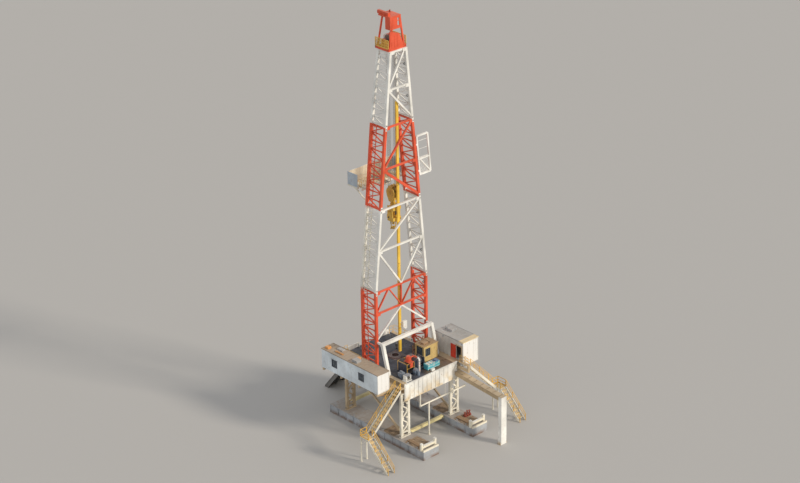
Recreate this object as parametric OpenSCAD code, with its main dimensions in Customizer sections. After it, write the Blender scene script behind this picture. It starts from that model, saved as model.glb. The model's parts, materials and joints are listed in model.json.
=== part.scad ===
// Land drilling rig with a four-section mast, as a 1:2 scale model in millimetres.
// X runs across the mast, +Y points to the ramp side, Z is up from the ground.
// Places are measured from the well centre; at_well() moves them into the part's frame.

/* [Base boxes] */
// Height of a base box
base_h = 620; // [500:10:800]
// Width of a base box
base_w = 1400; // [1200:20:1600]
// Distance from the well centre to the rear end of the base boxes
base_rear = 6000; // [5400:50:6300]
// Distance from the well centre to the front end of the base boxes
base_front = 3600; // [3200:50:4200]
// Thickness of the top and bottom flanges of a base box
base_flange = 40; // [20:5:60]
// Height of the posts of the U-shaped rest at the rear end of a base box
cradle_h = 560; // [400:20:700]
// Thickness of the posts and bars of the rest
cradle_bar = 160; // [100:10:200]
// Distance from the rear end of a base box to its rest
cradle_in = 300; // [200:20:500]
// Height of a spreader beam between the base boxes
spreader_h = 200; // [120:10:300]
// Distance from the well centre to the rear spreader beam
spreader_y = 3000; // [2600:50:3200]

/* [Drill floor] */
// Height of the drill floor above the ground
floor_z = 4725; // [4400:25:5200]
// Distance from the well centre to the girder on each side
girder_x = 2330; // [2250:10:2400]
// Height of a floor girder
girder_h = 700; // [500:20:900]
// Width of a floor girder
girder_w = 300; // [240:10:360]
// Distance from the well centre to the rear edge of the floor
floor_rear = 3600; // [3500:50:3900]
// Distance from the well centre to the front edge of the floor
floor_front = 2850; // [2600:50:3200]
// Thickness of the deck plates
deck_t = 40; // [20:5:60]
// Depth of the cross beams under the deck
beam_h = 460; // [300:20:600]
// Height of the rear panel
panel_h = 1275; // [900:25:1500]
// Thickness of the rear panel
panel_t = 60; // [30:5:100]
// Width of the ramp plate
ramp_w = 1600; // [1300:20:1900]
// Slope of the ramp in degrees
ramp_slope = 50; // [44:1:56]
// Length of each front guard beside the ramp
guard_l = 1120; // [900:20:1200]
// Length of the drain pipe under the rear panel
drain_l = 4300; // [3800:50:4500]
// Height of the drain pipe
drain_z = 2540; // [2300:20:2800]
// Length of the drawworks
draw_l = 1760; // [1600:20:1800]
// Depth of the drawworks
draw_d = 1000; // [900:20:1100]
// Height of the drawworks' gear case
draw_h = 900; // [800:20:1000]
// Length of the driller's cabin
control_l = 1290; // [1200:10:1350]
// Depth of the driller's cabin
control_d = 860; // [700:20:900]
// Height of the driller's cabin
control_h = 1135; // [1000:5:1250]
// Length of the locker
locker_l = 1130; // [900:10:1300]
// Depth of the locker
locker_d = 420; // [300:10:440]
// Height of the locker
locker_h = 400; // [300:20:500]
// Radius of the rotary table opening
rotary_r = 240; // [200:5:300]
// Width of the square rotary table housing
rotary_w = 1100; // [900:20:1400]

/* [Legs] */
// Distance from the well centre to the rear legs
leg_rear_y = 3400; // [3300:20:3420]
// Distance from the well centre to the front legs
leg_front_y = 2175; // [2000:25:2500]
// Distance between the two chords of a leg, on centres
leg_span = 660; // [500:20:800]
// Thickness of a leg chord
leg_chord = 170; // [120:10:220]
// Number of bays of zigzag bracing in a leg
leg_bays = 5; // [3:1:8]
// Diameter of the pins at the ends of a leg
leg_pin_d = 90; // [60:5:110]

/* [Mast] */
// Height of the joint between the lowest and the second mast section
mast_z1 = 10600; // [10000:50:11000]
// Height of the joint between the second and the third mast section
mast_z2 = 16500; // [16000:50:17000]
// Height of the joint between the third and the fourth mast section
mast_z3 = 22300; // [21800:50:22600]
// Height of the top of the fourth mast section
mast_z4 = 27450; // [27000:50:27800]
// Distance from the centre to the chords at the foot of the mast
mast_foot_half = 2330; // [2250:10:2400]
// Distance from the centre to the chords at the top of the mast
mast_top_half = 690; // [650:10:740]
// Distance between the rear and the front chords, on centres
mast_depth = 1340; // [1300:10:1500]
// Distance between the rear and the front chords at the top of the mast
mast_top_depth = 1060; // [1000:10:1200]
// Thickness of a mast chord
mast_chord = 180; // [140:5:220]
// Thickness of the side lattice bars
lattice_t = 70; // [40:5:80]
// Number of bays of side lattice in each section
side_bays = 10; // [6:1:12]
// Thickness of the girts and diagonals of the back face
back_bar = 120; // [80:5:160]
// Height of the lower girt of the double-girt panel
panel_girt_z = 8950; // [8600:50:9400]
// Height at which the knee brace leaves the mast legs
knee_z = 6970; // [6800:10:7400]
// Height of the mid girt of the second section
girt2_z = 13500; // [13000:50:14000]
// Height of the mid girt of the third section
girt3_z = 19320; // [18800:20:19800]
// Height of the mid girt of the fourth section
girt4_z = 24830; // [24400:10:25200]
// Width of the torque track
track_w = 200; // [150:10:260]
// Depth of the torque track
track_d = 120; // [80:10:160]
// Height of the lower end of the torque track
track_z0 = 5250; // [5100:50:5600]
// Length of the torque track above the third mast section
track_over = 1500; // [1400:50:1800]

/* [A-frame] */
// Height of the top beam of the A-frame
aframe_z = 6820; // [6500:20:6900]
// Distance from the well centre to the top beam of the A-frame
aframe_y = 1210; // [1150:10:1400]
// Distance from the well centre to the feet of the A-frame
aframe_foot_y = 1850; // [1600:10:2000]
// Distance from the centre to the legs of the A-frame
aframe_half = 2290; // [2200:10:2350]
// Thickness of the A-frame bars
aframe_bar = 220; // [160:10:260]

/* [Crown] */
// Height of the crown above the top of the mast
crown_h = 2550; // [2350:50:2900]
// Distance from the centre to each side edge of the crown platform
crown_half = 800; // [800:10:1000]
// Distance from the centre to the rear edge of the crown platform
crown_rear = 640; // [640:10:760]
// Distance from the centre to the front edge of the crown platform
crown_front = 640; // [640:10:800]
// Height of the crown beams
crown_beam = 160; // [120:10:220]
// Height of the crown axle above the platform
axle_h = 420; // [400:10:480]
// Height of the left edge of the red panel behind the sheaves
crown_panel_h = 1200; // [1000:20:1300]
// Radius of a crown sheave
sheave_r = 340; // [300:5:360]
// Thickness of a sheave
sheave_t = 60; // [50:2:80]
// Number of crown sheaves
sheaves = 6; // [4:1:7]
// Distance between sheaves, on centres
sheave_pitch = 90; // [84:2:100]
// Depth of the groove in a sheave
groove = 30; // [24:1:40]
// Diameter of the drill line
line_d = 20; // [16:1:24]

/* [Travelling block and top drive] */
// Height of the elevator under the top drive at rest
hoist_z = 14450; // [13800:50:15200]
// Width of the top drive
drive_w = 720; // [600:20:800]
// Depth of the top drive
drive_d = 640; // [500:20:700]
// Height of the top drive
drive_h = 1900; // [1600:50:2200]
// Width of the travelling block
block_w = 520; // [480:10:600]
// Height of the sheave axle above the foot of the travelling block
block_axle = 790; // [760:10:840]
// Thickness of a cheek plate of the travelling block
cheek_t = 40; // [25:5:60]
// Running clearance between the guide of the top drive and the torque track
track_gap = 8; // [5:1:15]

/* [Racking board] */
// Height of the racking board's floor
board_z = 17550; // [17200:50:18000]
// Distance from the centre to each side of the racking board
board_half = 2050; // [1900:25:2300]
// Distance from the well centre to the front edge of the racking board
board_front = 2250; // [2000:25:2500]
// Depth of the beams round the racking board
board_beam = 120; // [80:10:180]
// Height of the wind walls round the racking board
wind_h = 900; // [700:20:1100]
// Length of the wind wall on each side of the racking board
wind_side = 1000; // [800:25:1300]
// Drop of the struts under the racking board
strut_drop = 900; // [700:20:1000]
// Number of fingers of the racking board
fingers = 7; // [4:1:9]
// Width of the middle walkway of the racking board
walk_w = 460; // [360:10:600]
// Distance from the well centre to the inner end of the middle walkway
walk_in = 480; // [440:10:600]

/* [Doghouse] */
// Length of the doghouse
dog_l = 5700; // [5200:50:6200]
// Width of the doghouse
dog_w = 1075; // [1000:25:1300]
// Height of the doghouse
dog_h = 1400; // [1300:10:1600]
// Height of the underside of the doghouse
dog_z = 4425; // [4400:5:4450]
// Thickness of the doghouse floor and of the walkway beside it
porch_t = 50; // [40:5:60]
// Distance from the floor edge to the head of the left stair
stair_head = 360; // [300:10:420]
// Gap between the floor girder and the doghouse, taken up by the side walkway
dog_gap = 820; // [700:20:1000]
// Distance from the well centre to the rear end of the doghouse
dog_rear = 2950; // [2800:50:3100]
// Thickness of the cabin walls
wall_t = 50; // [30:5:80]
// Side of the square doghouse windows
window_w = 520; // [400:20:640]

/* [Right cabin] */
// Length of the cabin
cab_l = 2730; // [2500:10:3000]
// Width of the cabin
cab_w = 1450; // [1300:25:1600]
// Height of the cabin
cab_h = 1755; // [1600:5:1850]
// Height of the underside of the cabin
cab_z = 4385; // [4350:5:4420]
// Distance from the well centre to the near wall of the cabin
cab_x = 2695; // [2600:5:2800]
// Distance from the well centre to the rear end of the cabin
cab_rear = 3975; // [3900:25:4200]
// Width of the cabin doorway
door_w = 480; // [420:10:560]
// Height of the cabin doorway
door_h = 1020; // [950:10:1080]
// Thickness of the door leaf
door_t = 28; // [20:2:40]
// Running clearance round the door leaf
door_gap = 6; // [5:0.5:10]

/* [Stairs] */
// Width of a stair between its stringers
stair_w = 520; // [460:10:600]
// Number of treads in an upper flight
upper_treads = 13; // [10:1:16]
// Number of treads in a lower flight
lower_treads = 9; // [7:1:12]
// Height of the stair landings
landing_z = 1950; // [1800:25:2200]
// Run of an upper flight
upper_run = 2700; // [2500:25:3000]
// Run of a lower flight
lower_run = 1950; // [1800:25:2200]
// Height of the handrails
rail_h = 520; // [450:10:600]
// Thickness of the handrails
rail_t = 36; // [24:2:44]
// Depth of a stair stringer
stringer_h = 170; // [120:5:200]
// Thickness of a stair stringer
stringer_t = 30; // [20:2:40]
// Distance from the well centre to the rear edge of the left stair
left_stair_y = 3600; // [3560:20:3640]
// Distance from the well centre to the rear edge of the right stair
right_stair_y = 4700; // [4600:20:4800]

/* [Cable bridge] */
// Distance from the well centre to the cable column
column_y = 8000; // [7600:50:8400]
// Distance from the centre to the cable column
column_x = 2500; // [2450:10:2600]
// Height of the cable column
column_h = 3650; // [3500:25:3800]
// Drop of the cable bridge from the floor to the column
bridge_drop = 330; // [200:10:360]
// Width of the cable bridge
bridge_w = 460; // [360:10:480]
// Depth of the cable bridge
bridge_d = 300; // [200:10:340]
// Width of the cable column
column_w = 500; // [400:10:600]
// Depth of the cable column
column_d = 300; // [200:10:400]

/* [Hidden] */
$fn = 32;

red = "orangered";
white = "white";
yellow = "gold";
tan_grey = "tan";

base_x = girder_x;
girder_z = floor_z - girder_h;
beam_w = 200;
flange_t = 30;
web_t = 30;
top_z = mast_z4 + crown_h;
track_z1 = mast_z3 + track_over;
block_h = block_axle + sheave_r + 120;
draw_x = -1500;
draw_y = 800 - floor_rear;
draw_case_x = 700;
draw_case_w = 500;
duct_d = 120;
duct_gap = 210;
control_at = [705, draw_y + 650, floor_z];
locker_at = [10, 340 - floor_rear, floor_z];
winch_at = [-2200, 150 - floor_rear, floor_z];
tread_t = 20;
drain_d = 120;
dog_door_y = -300;
dog_door_w = 500;
dog_door_h = 1000;
door_y = -cab_rear + 200;
door_sill = floor_z + 10;
hinge_x = cab_x - door_gap - door_t / 2;
hinge_y = door_y + door_w + 14;
hinge_off = 16;
hinge_h = 40;
seat = 0.3;
wide = stair_w + 2 * stringer_t;
mast_slope = (mast_foot_half - mast_top_half) / (mast_z4 - mast_z1);
lean = atan(mast_slope);
back_y = -mast_depth / 2;
back_face = back_y + back_bar / 2;
ramp_run = (floor_z - 100) / tan(ramp_slope);
porch_z = dog_z + porch_t;
left_landing_x = floor_edge() + stair_head + upper_run;
right_landing_x = cab_x + upper_run;
left_out = left_landing_x + stair_w + 2 * stringer_t;
right_out = right_landing_x + stair_w + 2 * stringer_t;
rear_out = column_y + column_d / 2;
front_out = floor_front + ramp_run;
well_x = (left_out - right_out) / 2;
well_y = (rear_out - front_out) / 2;

function floor_edge() = girder_x + girder_w / 2;
function sheave_x(i) = (i - (sheaves - 1) / 2) * sheave_pitch;
function mast_half(z) = mast_foot_half - mast_slope * max(0, z - mast_z1);
function mast_out(z) = mast_half(z) + mast_chord / 2 / cos(lean) + seat;
function mast_in(z) = mast_half(z) - mast_chord / 2 / cos(lean);

// Moves a piece from the well centre into the part's frame
module at_well() {
    translate([well_x, well_y, 0]) children();
}

// A box between two opposite corners
module block(a, b) {
    translate(a) cube(b - a);
}

// A straight square or flat bar between two points
module bar(p, q, w, h = 0) {
    d = q - p;
    flat = h == 0 ? w : h;
    translate(p) rotate([0, acos(d[2] / norm(d)), atan2(d[1], d[0])])
        translate([-w / 2, -flat / 2, 0]) cube([w, flat, norm(d)]);
}

// A flat strip in the plane between two points
module strip(p, q, w) {
    d = q - p;
    n = [-d[1], d[0]] / norm(d) * w / 2;
    polygon([p + n, p - n, q - n, q + n]);
}

// Stands a drawing of (y, z) on the plane x and thickens it towards +X
module on_side(x, t) {
    translate([x, 0, 0]) rotate([90, 0, 90]) linear_extrude(t) children();
}

// Stands a drawing of (x, z) on the plane y and thickens it towards -Y
module on_back(y, t) {
    translate([0, y, 0]) rotate([90, 0, 0]) linear_extrude(t) children();
}

// The outline of an I-beam about its centre
module i_outline(w, h, web = web_t, flange = flange_t) {
    translate([-w / 2, h / 2 - flange]) square([w, flange]);
    translate([-w / 2, -h / 2]) square([w, flange]);
    translate([-web / 2, -h / 2]) square([web, h]);
}

// An I-beam along Y at x, from y0 to y1, with its underside at z
module beam_y(x, y0, y1, z, w, h) {
    translate([x, y1, z + h / 2]) rotate([90, 0, 0]) linear_extrude(y1 - y0) i_outline(w, h);
}

// An I-beam along X at y, from x0 to x1, with its underside at z
module beam_x(y, x0, x1, z, w, h) {
    translate([x0, y, z + h / 2]) rotate([90, 0, 90]) linear_extrude(x1 - x0) i_outline(w, h);
}

// Base

// One plated base box with flanges, stiffeners and the rest for the lowered floor
module base_box(side) {
    inner = base_w / 2 - 60;
    translate([side * base_x, 0, 0]) {
        block([-base_w / 2, -base_rear, 0], [base_w / 2, base_front, base_flange]);
        block([-base_w / 2, -base_rear, base_h - base_flange], [base_w / 2, base_front, base_h]);
        block([-inner, -base_rear, base_flange], [inner, base_front, base_h - base_flange]);
        length = base_rear + base_front;
        ribs = floor(length / 750);
        for (i = [0 : ribs]) {
            y = -base_rear + 20 + i * (length - 40) / ribs;
            block([-base_w / 2, y - 15, base_flange], [base_w / 2, y + 15, base_h - base_flange]);
        }
        rest_y = -base_rear + cradle_in;
        for (s = [-1, 1]) {
            x = s * (base_w / 2 - cradle_bar / 2);
            block([x - cradle_bar / 2, rest_y - cradle_bar / 2, base_h],
                [x + cradle_bar / 2, rest_y + cradle_bar / 2, base_h + cradle_h]);
        }
        block([-base_w / 2 + cradle_bar, rest_y - cradle_bar / 2, base_h + cradle_h / 3],
            [base_w / 2 - cradle_bar, rest_y + cradle_bar / 2, base_h + cradle_h / 3 + cradle_bar]);
        block([-base_w / 2, -base_rear, base_h],
            [base_w / 2, -base_rear + cradle_bar * 0.6, base_h + cradle_bar]);
    }
}

module base_box_left() {
    color("silver") at_well() base_box(-1);
}

module base_box_right() {
    color("silver") at_well() base_box(1);
}

// Beams that hold the base boxes apart
module base_spreaders() {
    reach = base_x - base_w / 2;
    color(yellow) at_well() for (y = [-spreader_y, base_front - 2.5 * spreader_h]) {
        translate([0, y, base_h - base_flange - spreader_h / 2]) rotate([0, 90, 0])
            cube([spreader_h, spreader_h, 2 * reach], center = true);
    }
}

// One ladder-shaped leg with its shoe, head and pins
module leg(side, y) {
    foot = base_h;
    head = girder_z;
    cap = 60;
    lug = 260;
    half = leg_span / 2;
    translate([side * girder_x, y, 0]) {
        for (s = [-1, 1]) translate([s * half, 0, 0]) {
            block([-leg_chord / 2, -leg_chord / 2, foot + cap + 40],
                [leg_chord / 2, leg_chord / 2, head - cap - 40]);
            for (z = [foot + lug / 2 + 40, head - lug / 2 - 40]) {
                translate([-leg_chord / 2 - 40, 0, z]) rotate([0, 90, 0])
                    cylinder(d = leg_pin_d, h = leg_chord + 80);
            }
            for (e = [-1, 1]) {
                x = e * (leg_chord / 2 + 15);
                block([x - 15, -90, foot + cap], [x + 15, 90, foot + lug]);
                block([x - 15, -90, head - lug], [x + 15, 90, head - cap]);
            }
        }
        wide = half + leg_chord / 2 + 40;
        block([-wide, -110, foot], [wide, 110, foot + cap]);
        block([-wide, -110, head - cap], [wide, 110, head]);
        z0 = foot + lug + 80;
        z1 = head - lug - 80;
        pitch = (z1 - z0) / leg_bays;
        on_back(40, 80) {
            for (i = [0 : leg_bays - 1]) {
                a = i % 2 == 0 ? -half : half;
                strip([a, z0 + i * pitch], [-a, z0 + (i + 1) * pitch], 90);
            }
            for (z = [z0, z1]) strip([-half, z], [half, z], 90);
        }
    }
}

module legs_rear() {
    color(white) at_well() for (s = [-1, 1]) leg(s, -leg_rear_y);
}

module legs_front() {
    color(tan_grey) at_well() for (s = [-1, 1]) leg(s, leg_front_y);
}

// Long diagonal struts that lock the raised legs
module leg_braces() {
    y0 = -leg_rear_y + 110;
    y1 = leg_front_y - 110;
    color(tan_grey) at_well() for (s = [-1, 1]) {
        on_side(s * girder_x - 50, 100) intersection() {
            strip([y0 - 300, base_h - 200], [y1 + 300, girder_z + 200], 140);
            translate([y0, base_h]) square([y1 - y0, girder_z - base_h]);
        }
    }
}

// Floor

// Girders and cross beams under the deck
module floor_frame() {
    rear = -floor_rear + panel_t;
    reach = girder_x;
    under = floor_z - deck_t - beam_h;
    color(tan_grey) at_well() {
        for (s = [-1, 1]) beam_y(s * girder_x, rear, floor_front, girder_z, girder_w, girder_h);
        beside = rotary_w / 2 + beam_w / 2;
        for (y = [-0.8 * floor_rear, -0.53 * floor_rear, -beside, beside, 0.6 * floor_front,
            floor_front - beam_w / 2]) beam_x(y, -reach, reach, under, beam_w, beam_h);
    }
}

// Outrigger beams and the walkway between the floor and the doghouse
module left_porch() {
    edge = floor_edge();
    web = girder_x + web_t / 2;
    out = edge + dog_gap + dog_w;
    head_y = -left_stair_y + wide;
    last_y = min(-dog_rear + dog_l, floor_front) - 120;
    color(tan_grey) at_well() {
        for (i = [0 : 3]) {
            y = -dog_rear + 100 + i * (last_y + dog_rear - 100) / 3;
            block([-out, y - 60, dog_z - 200], [-web, y + 60, dog_z]);
        }
        block([-edge - dog_gap, head_y, dog_z], [-edge, floor_front, porch_z]);
        block([-edge - stair_head, -left_stair_y, dog_z], [-edge, head_y, porch_z]);
        block([-edge - 160, -600, porch_z], [-edge, 100, porch_z + (floor_z - porch_z) / 2]);
    }
}

// Outrigger beams under the right cabin and the porch at its rear end
module right_porch() {
    edge = floor_edge();
    web = girder_x + web_t / 2;
    out = cab_x + cab_w;
    under = floor_z - deck_t;
    color(tan_grey) at_well() {
        for (y = [-floor_rear + 200, -cab_rear + cab_l / 2, -cab_rear + cab_l - 100]) {
            block([web, y - 60, cab_z - 200], [out, y + 60, cab_z]);
        }
        block([edge, -right_stair_y, under], [cab_x, -cab_rear + cab_l, floor_z]);
        block([edge + 20, -right_stair_y, cab_z - 200], [edge + 140, -floor_rear + 200, cab_z]);
        block([edge + 20, -right_stair_y, cab_z], [edge + 140, -right_stair_y + 120, under]);
        block([edge + 20, -cab_rear + cab_l - 160, cab_z], [edge + 140, -cab_rear + cab_l - 40, under]);
    }
}

// The deep white panel across the rear of the floor
module rear_panel() {
    edge = floor_edge();
    y = -floor_rear;
    color(white) at_well() {
        block([-edge, y, floor_z - panel_h], [edge, y + panel_t, floor_z]);
        block([-edge, y - 40, floor_z - 60], [edge, y, floor_z]);
        block([-edge, y - 40, floor_z - panel_h], [edge, y, floor_z - panel_h + 40]);
    }
}

// Deck plates between the girders, with the square opening for the rotary table
module floor_deck() {
    edge = girder_x - girder_w / 2;
    hole = rotary_w / 2;
    color("dimgray") at_well() difference() {
        block([-edge, -floor_rear + panel_t, floor_z - deck_t], [edge, floor_front, floor_z]);
        block([-hole, -hole, floor_z - 2 * deck_t], [hole, hole, floor_z + 10]);
    }
}

// Rotary table: square housing with a round bore over the well
module rotary_table() {
    color("firebrick") at_well() difference() {
        union() {
            block([-rotary_w / 2, -rotary_w / 2, floor_z - 240], [rotary_w / 2, rotary_w / 2, floor_z + 20]);
            translate([0, 0, floor_z]) cylinder(r = rotary_w / 2 - 60, h = 50, $fn = 64);
        }
        translate([0, 0, floor_z - 300]) cylinder(r = rotary_r, h = 400, $fn = 64);
    }
}

// Drawworks: skid, drum and brake between end plates, with the gear case between them
module drawworks() {
    skid = 120;
    wall = 60;
    drum_z = draw_h / 2 + 10;
    gear = draw_case_x + draw_case_w;
    color("darkslategray") at_well() translate([draw_x, draw_y, floor_z]) {
        block([0, 0, 0], [draw_l, draw_d, skid]);
        block([draw_case_x, 0, skid], [gear, draw_d, draw_h]);
        for (x = [0, draw_l - wall]) block([x, skid, skid], [x + wall, draw_d - skid, draw_h - skid]);
        translate([wall, draw_d / 2, drum_z]) rotate([0, 90, 0]) cylinder(r = 200, h = draw_case_x - wall);
        for (x = [wall, draw_case_x - 40]) translate([x, draw_d / 2, drum_z]) rotate([0, 90, 0])
            cylinder(r = 310, h = 40);
        translate([gear, draw_d / 2, drum_z]) rotate([0, 90, 0])
            cylinder(r = 260, h = draw_l - wall - gear);
    }
}

// White goal-post frame that ties the mast to the rear of the floor
module a_frame() {
    top = aframe_z + aframe_bar / 2;
    half = aframe_bar / 2;
    color(white) at_well() {
        block([-aframe_half - half, -aframe_y - half, aframe_z - half],
            [aframe_half + half, -aframe_y + half, top]);
        for (s = [-1, 1]) {
            on_side(s * aframe_half - half, aframe_bar) intersection() {
                strip([-aframe_foot_y - 60, floor_z - 400], [-aframe_y + 5, top + 30], aframe_bar);
                translate([-aframe_foot_y - 400, floor_z])
                    square([aframe_foot_y - aframe_y + 800, top - floor_z]);
            }
            block([s * aframe_half - 70, -aframe_y + half, aframe_z - 70],
                [s * aframe_half + 70, back_y - mast_chord / 2, aframe_z + 70]);
        }
    }
}

// Driller's cabin on the floor, open towards the well
module driller_cabin() {
    long = control_l;
    deep = control_d;
    high = control_h;
    wall = 40;
    side = 150;
    sill = 300;
    lintel = high - 90;
    color("goldenrod") at_well() translate(control_at) {
        difference() {
            block([0, 0, 0], [long, deep, high]);
            block([wall, wall, wall], [long - wall, deep - wall, high - wall]);
            block([side, -10, sill + 100], [long / 2 - 50, wall + 10, lintel - 100]);
            block([side, deep - wall - 10, sill], [long - side, deep + 10, lintel]);
            block([-10, side, sill], [wall + 10, deep - side, lintel]);
        }
        block([-30, -60, high], [long + 30, deep + 60, high + wall]);
    }
}

// Bent air duct that climbs behind the drawworks and turns down into the top of its gear case
module gooseneck_pipe() {
    bend = 150;
    rise = draw_h + 40;
    run = draw_d / 2 + duct_gap - 2 * bend;
    color(red) at_well() translate([draw_x + draw_case_x + draw_case_w / 2, draw_y - duct_gap, floor_z]) {
        cylinder(d = duct_d, h = rise);
        translate([0, bend, rise]) rotate([90, 0, -90]) rotate_extrude(angle = 90)
            translate([bend, 0]) circle(d = duct_d);
        translate([0, bend, rise + bend]) rotate([-90, 0, 0]) cylinder(d = duct_d, h = run);
        translate([0, bend + run, rise]) rotate([90, 0, 90]) rotate_extrude(angle = 90)
            translate([bend, 0]) circle(d = duct_d);
        translate([0, 2 * bend + run, draw_h]) cylinder(d = duct_d, h = rise - draw_h);
    }
}

module floor_locker() {
    foot = 60;
    lid = 25;
    over = 15;
    color("turquoise") at_well() translate(locker_at) {
        block([0, 0, foot], [locker_l, locker_d, locker_h]);
        block([-over, -over, locker_h], [locker_l + over, locker_d, locker_h + lid]);
        for (x = [foot, locker_l - foot - 100]) block([x, 40, 0], [x + 100, locker_d - 40, foot]);
    }
}

// Small winch with a drum between two side plates
module air_winch() {
    long = 560;
    deep = 420;
    drum_z = 230;
    color(white) at_well() translate(winch_at) {
        block([0, 0, 0], [long, deep, 40]);
        for (x = [60, long - 100]) block([x, 40, 40], [x + 40, deep - 40, 420]);
        translate([0, deep / 2, drum_z]) rotate([0, 90, 0]) {
            translate([0, 0, 80]) cylinder(r = 120, h = long - 160);
            cylinder(r = 90, h = 80);
        }
        for (x = [130, long - 150]) translate([x, deep / 2, drum_z]) rotate([0, 90, 0])
            cylinder(r = 170, h = 20);
    }
}

// Ramp from the front edge of the floor to the ground: a sliding plate on three stringers
module v_door_ramp() {
    y0 = floor_front;
    y1 = front_out;
    top = floor_z;
    skin = 60;
    color("dimgray") at_well() {
        for (x = [-ramp_w / 2, -20, ramp_w / 2 - 40]) on_side(x, 40) polygon([
            [y0, top - skin], [y0, top - 400], [y1 - 330, 0], [y1 - 40, 0]
        ]);
        on_side(-ramp_w / 2, ramp_w) polygon([[y0, top], [y0, top - skin], [y1 - 50, 0], [y1, 0]]);
    }
}

// Low white guard along the front edge, left and right of the ramp
module front_guard() {
    y = floor_front;
    x0 = ramp_w / 2 + 40;
    color(white) at_well() for (s = [-1, 1]) {
        translate([s * (x0 + guard_l / 2), y - 30, floor_z + 150]) cube([guard_l, 60, 300], center = true);
        for (x = [x0 + 60, x0 + guard_l - 60]) translate([s * x, y - 100, floor_z + 100])
            cube([40, 90, 200], center = true);
    }
}

// Pipe under the rear panel with a drop to the ground
module drain_line() {
    y = -floor_rear + panel_t / 2 - 40;
    x0 = -drain_l / 4;
    color("ivory") at_well() {
        translate([x0, y, drain_z]) rotate([0, 90, 0]) cylinder(d = drain_d, h = drain_l);
        translate([-250, y, 0]) cylinder(d = drain_d, h = drain_z);
        translate([x0, y, drain_z]) cylinder(d = drain_d, h = floor_z - panel_h - drain_z);
    }
}

// Mast

// One side panel of a mast section, before it is trimmed to the section's height
module side_panel(z0, z1, d0, d1) {
    bays = side_bays;
    rise = (z1 - z0) / bays;
    y0 = -mast_depth / 2;
    f0 = y0 + d0;
    f1 = y0 + d1;
    cap = z1 - z0 - lattice_t;
    translate([0, 0, z0]) {
        on_side(-mast_chord / 2, mast_chord) {
            translate([y0 - mast_chord / 2, -100]) square([mast_chord, z1 - z0 + 200]);
            strip([f0, 0] - [0, 100], [f1, z1 - z0] + [0, 100], mast_chord);
        }
        on_side(-lattice_t / 2, lattice_t) {
            for (i = [0 : bays - 1]) {
                a = i * rise;
                b = (i + 1) * rise;
                fa = f0 + (f1 - f0) * i / bays;
                fb = f0 + (f1 - f0) * (i + 1) / bays;
                strip([y0, i % 2 == 0 ? a : b], [i % 2 == 0 ? fb : fa, i % 2 == 0 ? b : a], lattice_t);
                if (i > 0) strip([y0, a], [fa, a], lattice_t);
            }
            strip([y0, lattice_t], [f0, lattice_t], 2 * lattice_t);
            strip([y0, cap], [f1, cap], 2 * lattice_t);
        }
    }
}

// Both side panels of a section, trimmed level at its joints
module mast_sides(z0, z1, d0, d1) {
    straight = z0 < mast_z1;
    reach = mast_depth;
    for (s = [-1, 1]) intersection() {
        x = s * mast_half(z0);
        translate([x, 0, z0]) rotate([0, straight ? 0 : -s * lean, 0]) translate([0, 0, -z0])
            side_panel(z0, z1, d0, d1);
        block([x - reach, -reach, z0], [x + reach, reach, z1]);
    }
}

// The room between the chords of a section, as an outline of the back face
module between_chords(z0, z1) {
    polygon([[-mast_in(z0), z0], [mast_in(z0), z0], [mast_in(z1), z1], [-mast_in(z1), z1]]);
}

// Girts and diagonals of a section's back face
module back_face_bars(z0, z1) {
    on_back(back_y + back_bar / 2, back_bar) intersection() {
        union() children();
        between_chords(z0, z1);
    }
}

// A level girt across the back face
module girt(z, w = back_bar) {
    strip([-mast_half(z), z], [mast_half(z), z], w);
}

module mast_sides_1() {
    color(red) at_well() mast_sides(floor_z, mast_z1, mast_depth, mast_depth);
}

module mast_sides_2() {
    color(white) at_well() mast_sides(mast_z1, mast_z2, mast_depth, mast_depth);
}

module mast_sides_3() {
    color(red) at_well() mast_sides(mast_z2, mast_z3, mast_depth, mast_depth);
}

module mast_sides_4() {
    color(white) at_well() mast_sides(mast_z3, mast_z4, mast_depth, mast_top_depth);
}

// Double-girt panel at the top of the lowest section
module mast_back_1() {
    z0 = panel_girt_z;
    z1 = mast_z1 - back_bar / 2;
    bays = 4;
    step = 2 * mast_half(z0) / bays;
    color(red) at_well() back_face_bars(floor_z, mast_z1) {
        girt(z0);
        girt(z1);
        for (i = [0 : bays - 1]) {
            x = -mast_half(z0) + i * step;
            up = i % 2 == 0;
            strip([x, up ? z0 : z1], [x + step, up ? z1 : z0], back_bar * 0.6);
        }
        strip([0, z0], [0, z1], back_bar * 0.6);
    }
}

// White knee brace from the legs up to the middle of the lower girt
module mast_knee_brace() {
    z1 = panel_girt_z - back_bar / 2;
    color(white) at_well() back_face_bars(floor_z, mast_z1) {
        intersection() {
            for (s = [-1, 1]) strip([s * (mast_foot_half + 40), knee_z - 40], [-s * 60, z1 + 60], back_bar);
            translate([-mast_foot_half, knee_z - 300]) square([2 * mast_foot_half, z1 - knee_z + 300]);
        }
    }
}

module mast_back_2() {
    z0 = mast_z1;
    z1 = mast_z2 - back_bar / 2;
    color(white) at_well() back_face_bars(z0, mast_z2) {
        for (s = [-1, 1]) strip([0, z0], [s * mast_half(girt2_z), girt2_z], back_bar);
        girt(girt2_z);
        strip([-mast_half(girt2_z), girt2_z], [mast_half(z1), z1 - 100], back_bar);
        girt(z1);
    }
}

module mast_back_3() {
    z0 = mast_z2;
    z1 = mast_z3 - back_bar / 2;
    color(red) at_well() back_face_bars(z0, mast_z3) {
        strip([mast_half(z0), z0 + 160], [-mast_half(girt3_z), girt3_z], back_bar * 1.5);
        girt(girt3_z);
        strip([-mast_half(girt3_z), girt3_z], [mast_half(z1), z1], back_bar);
        girt(z1);
    }
}

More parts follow.
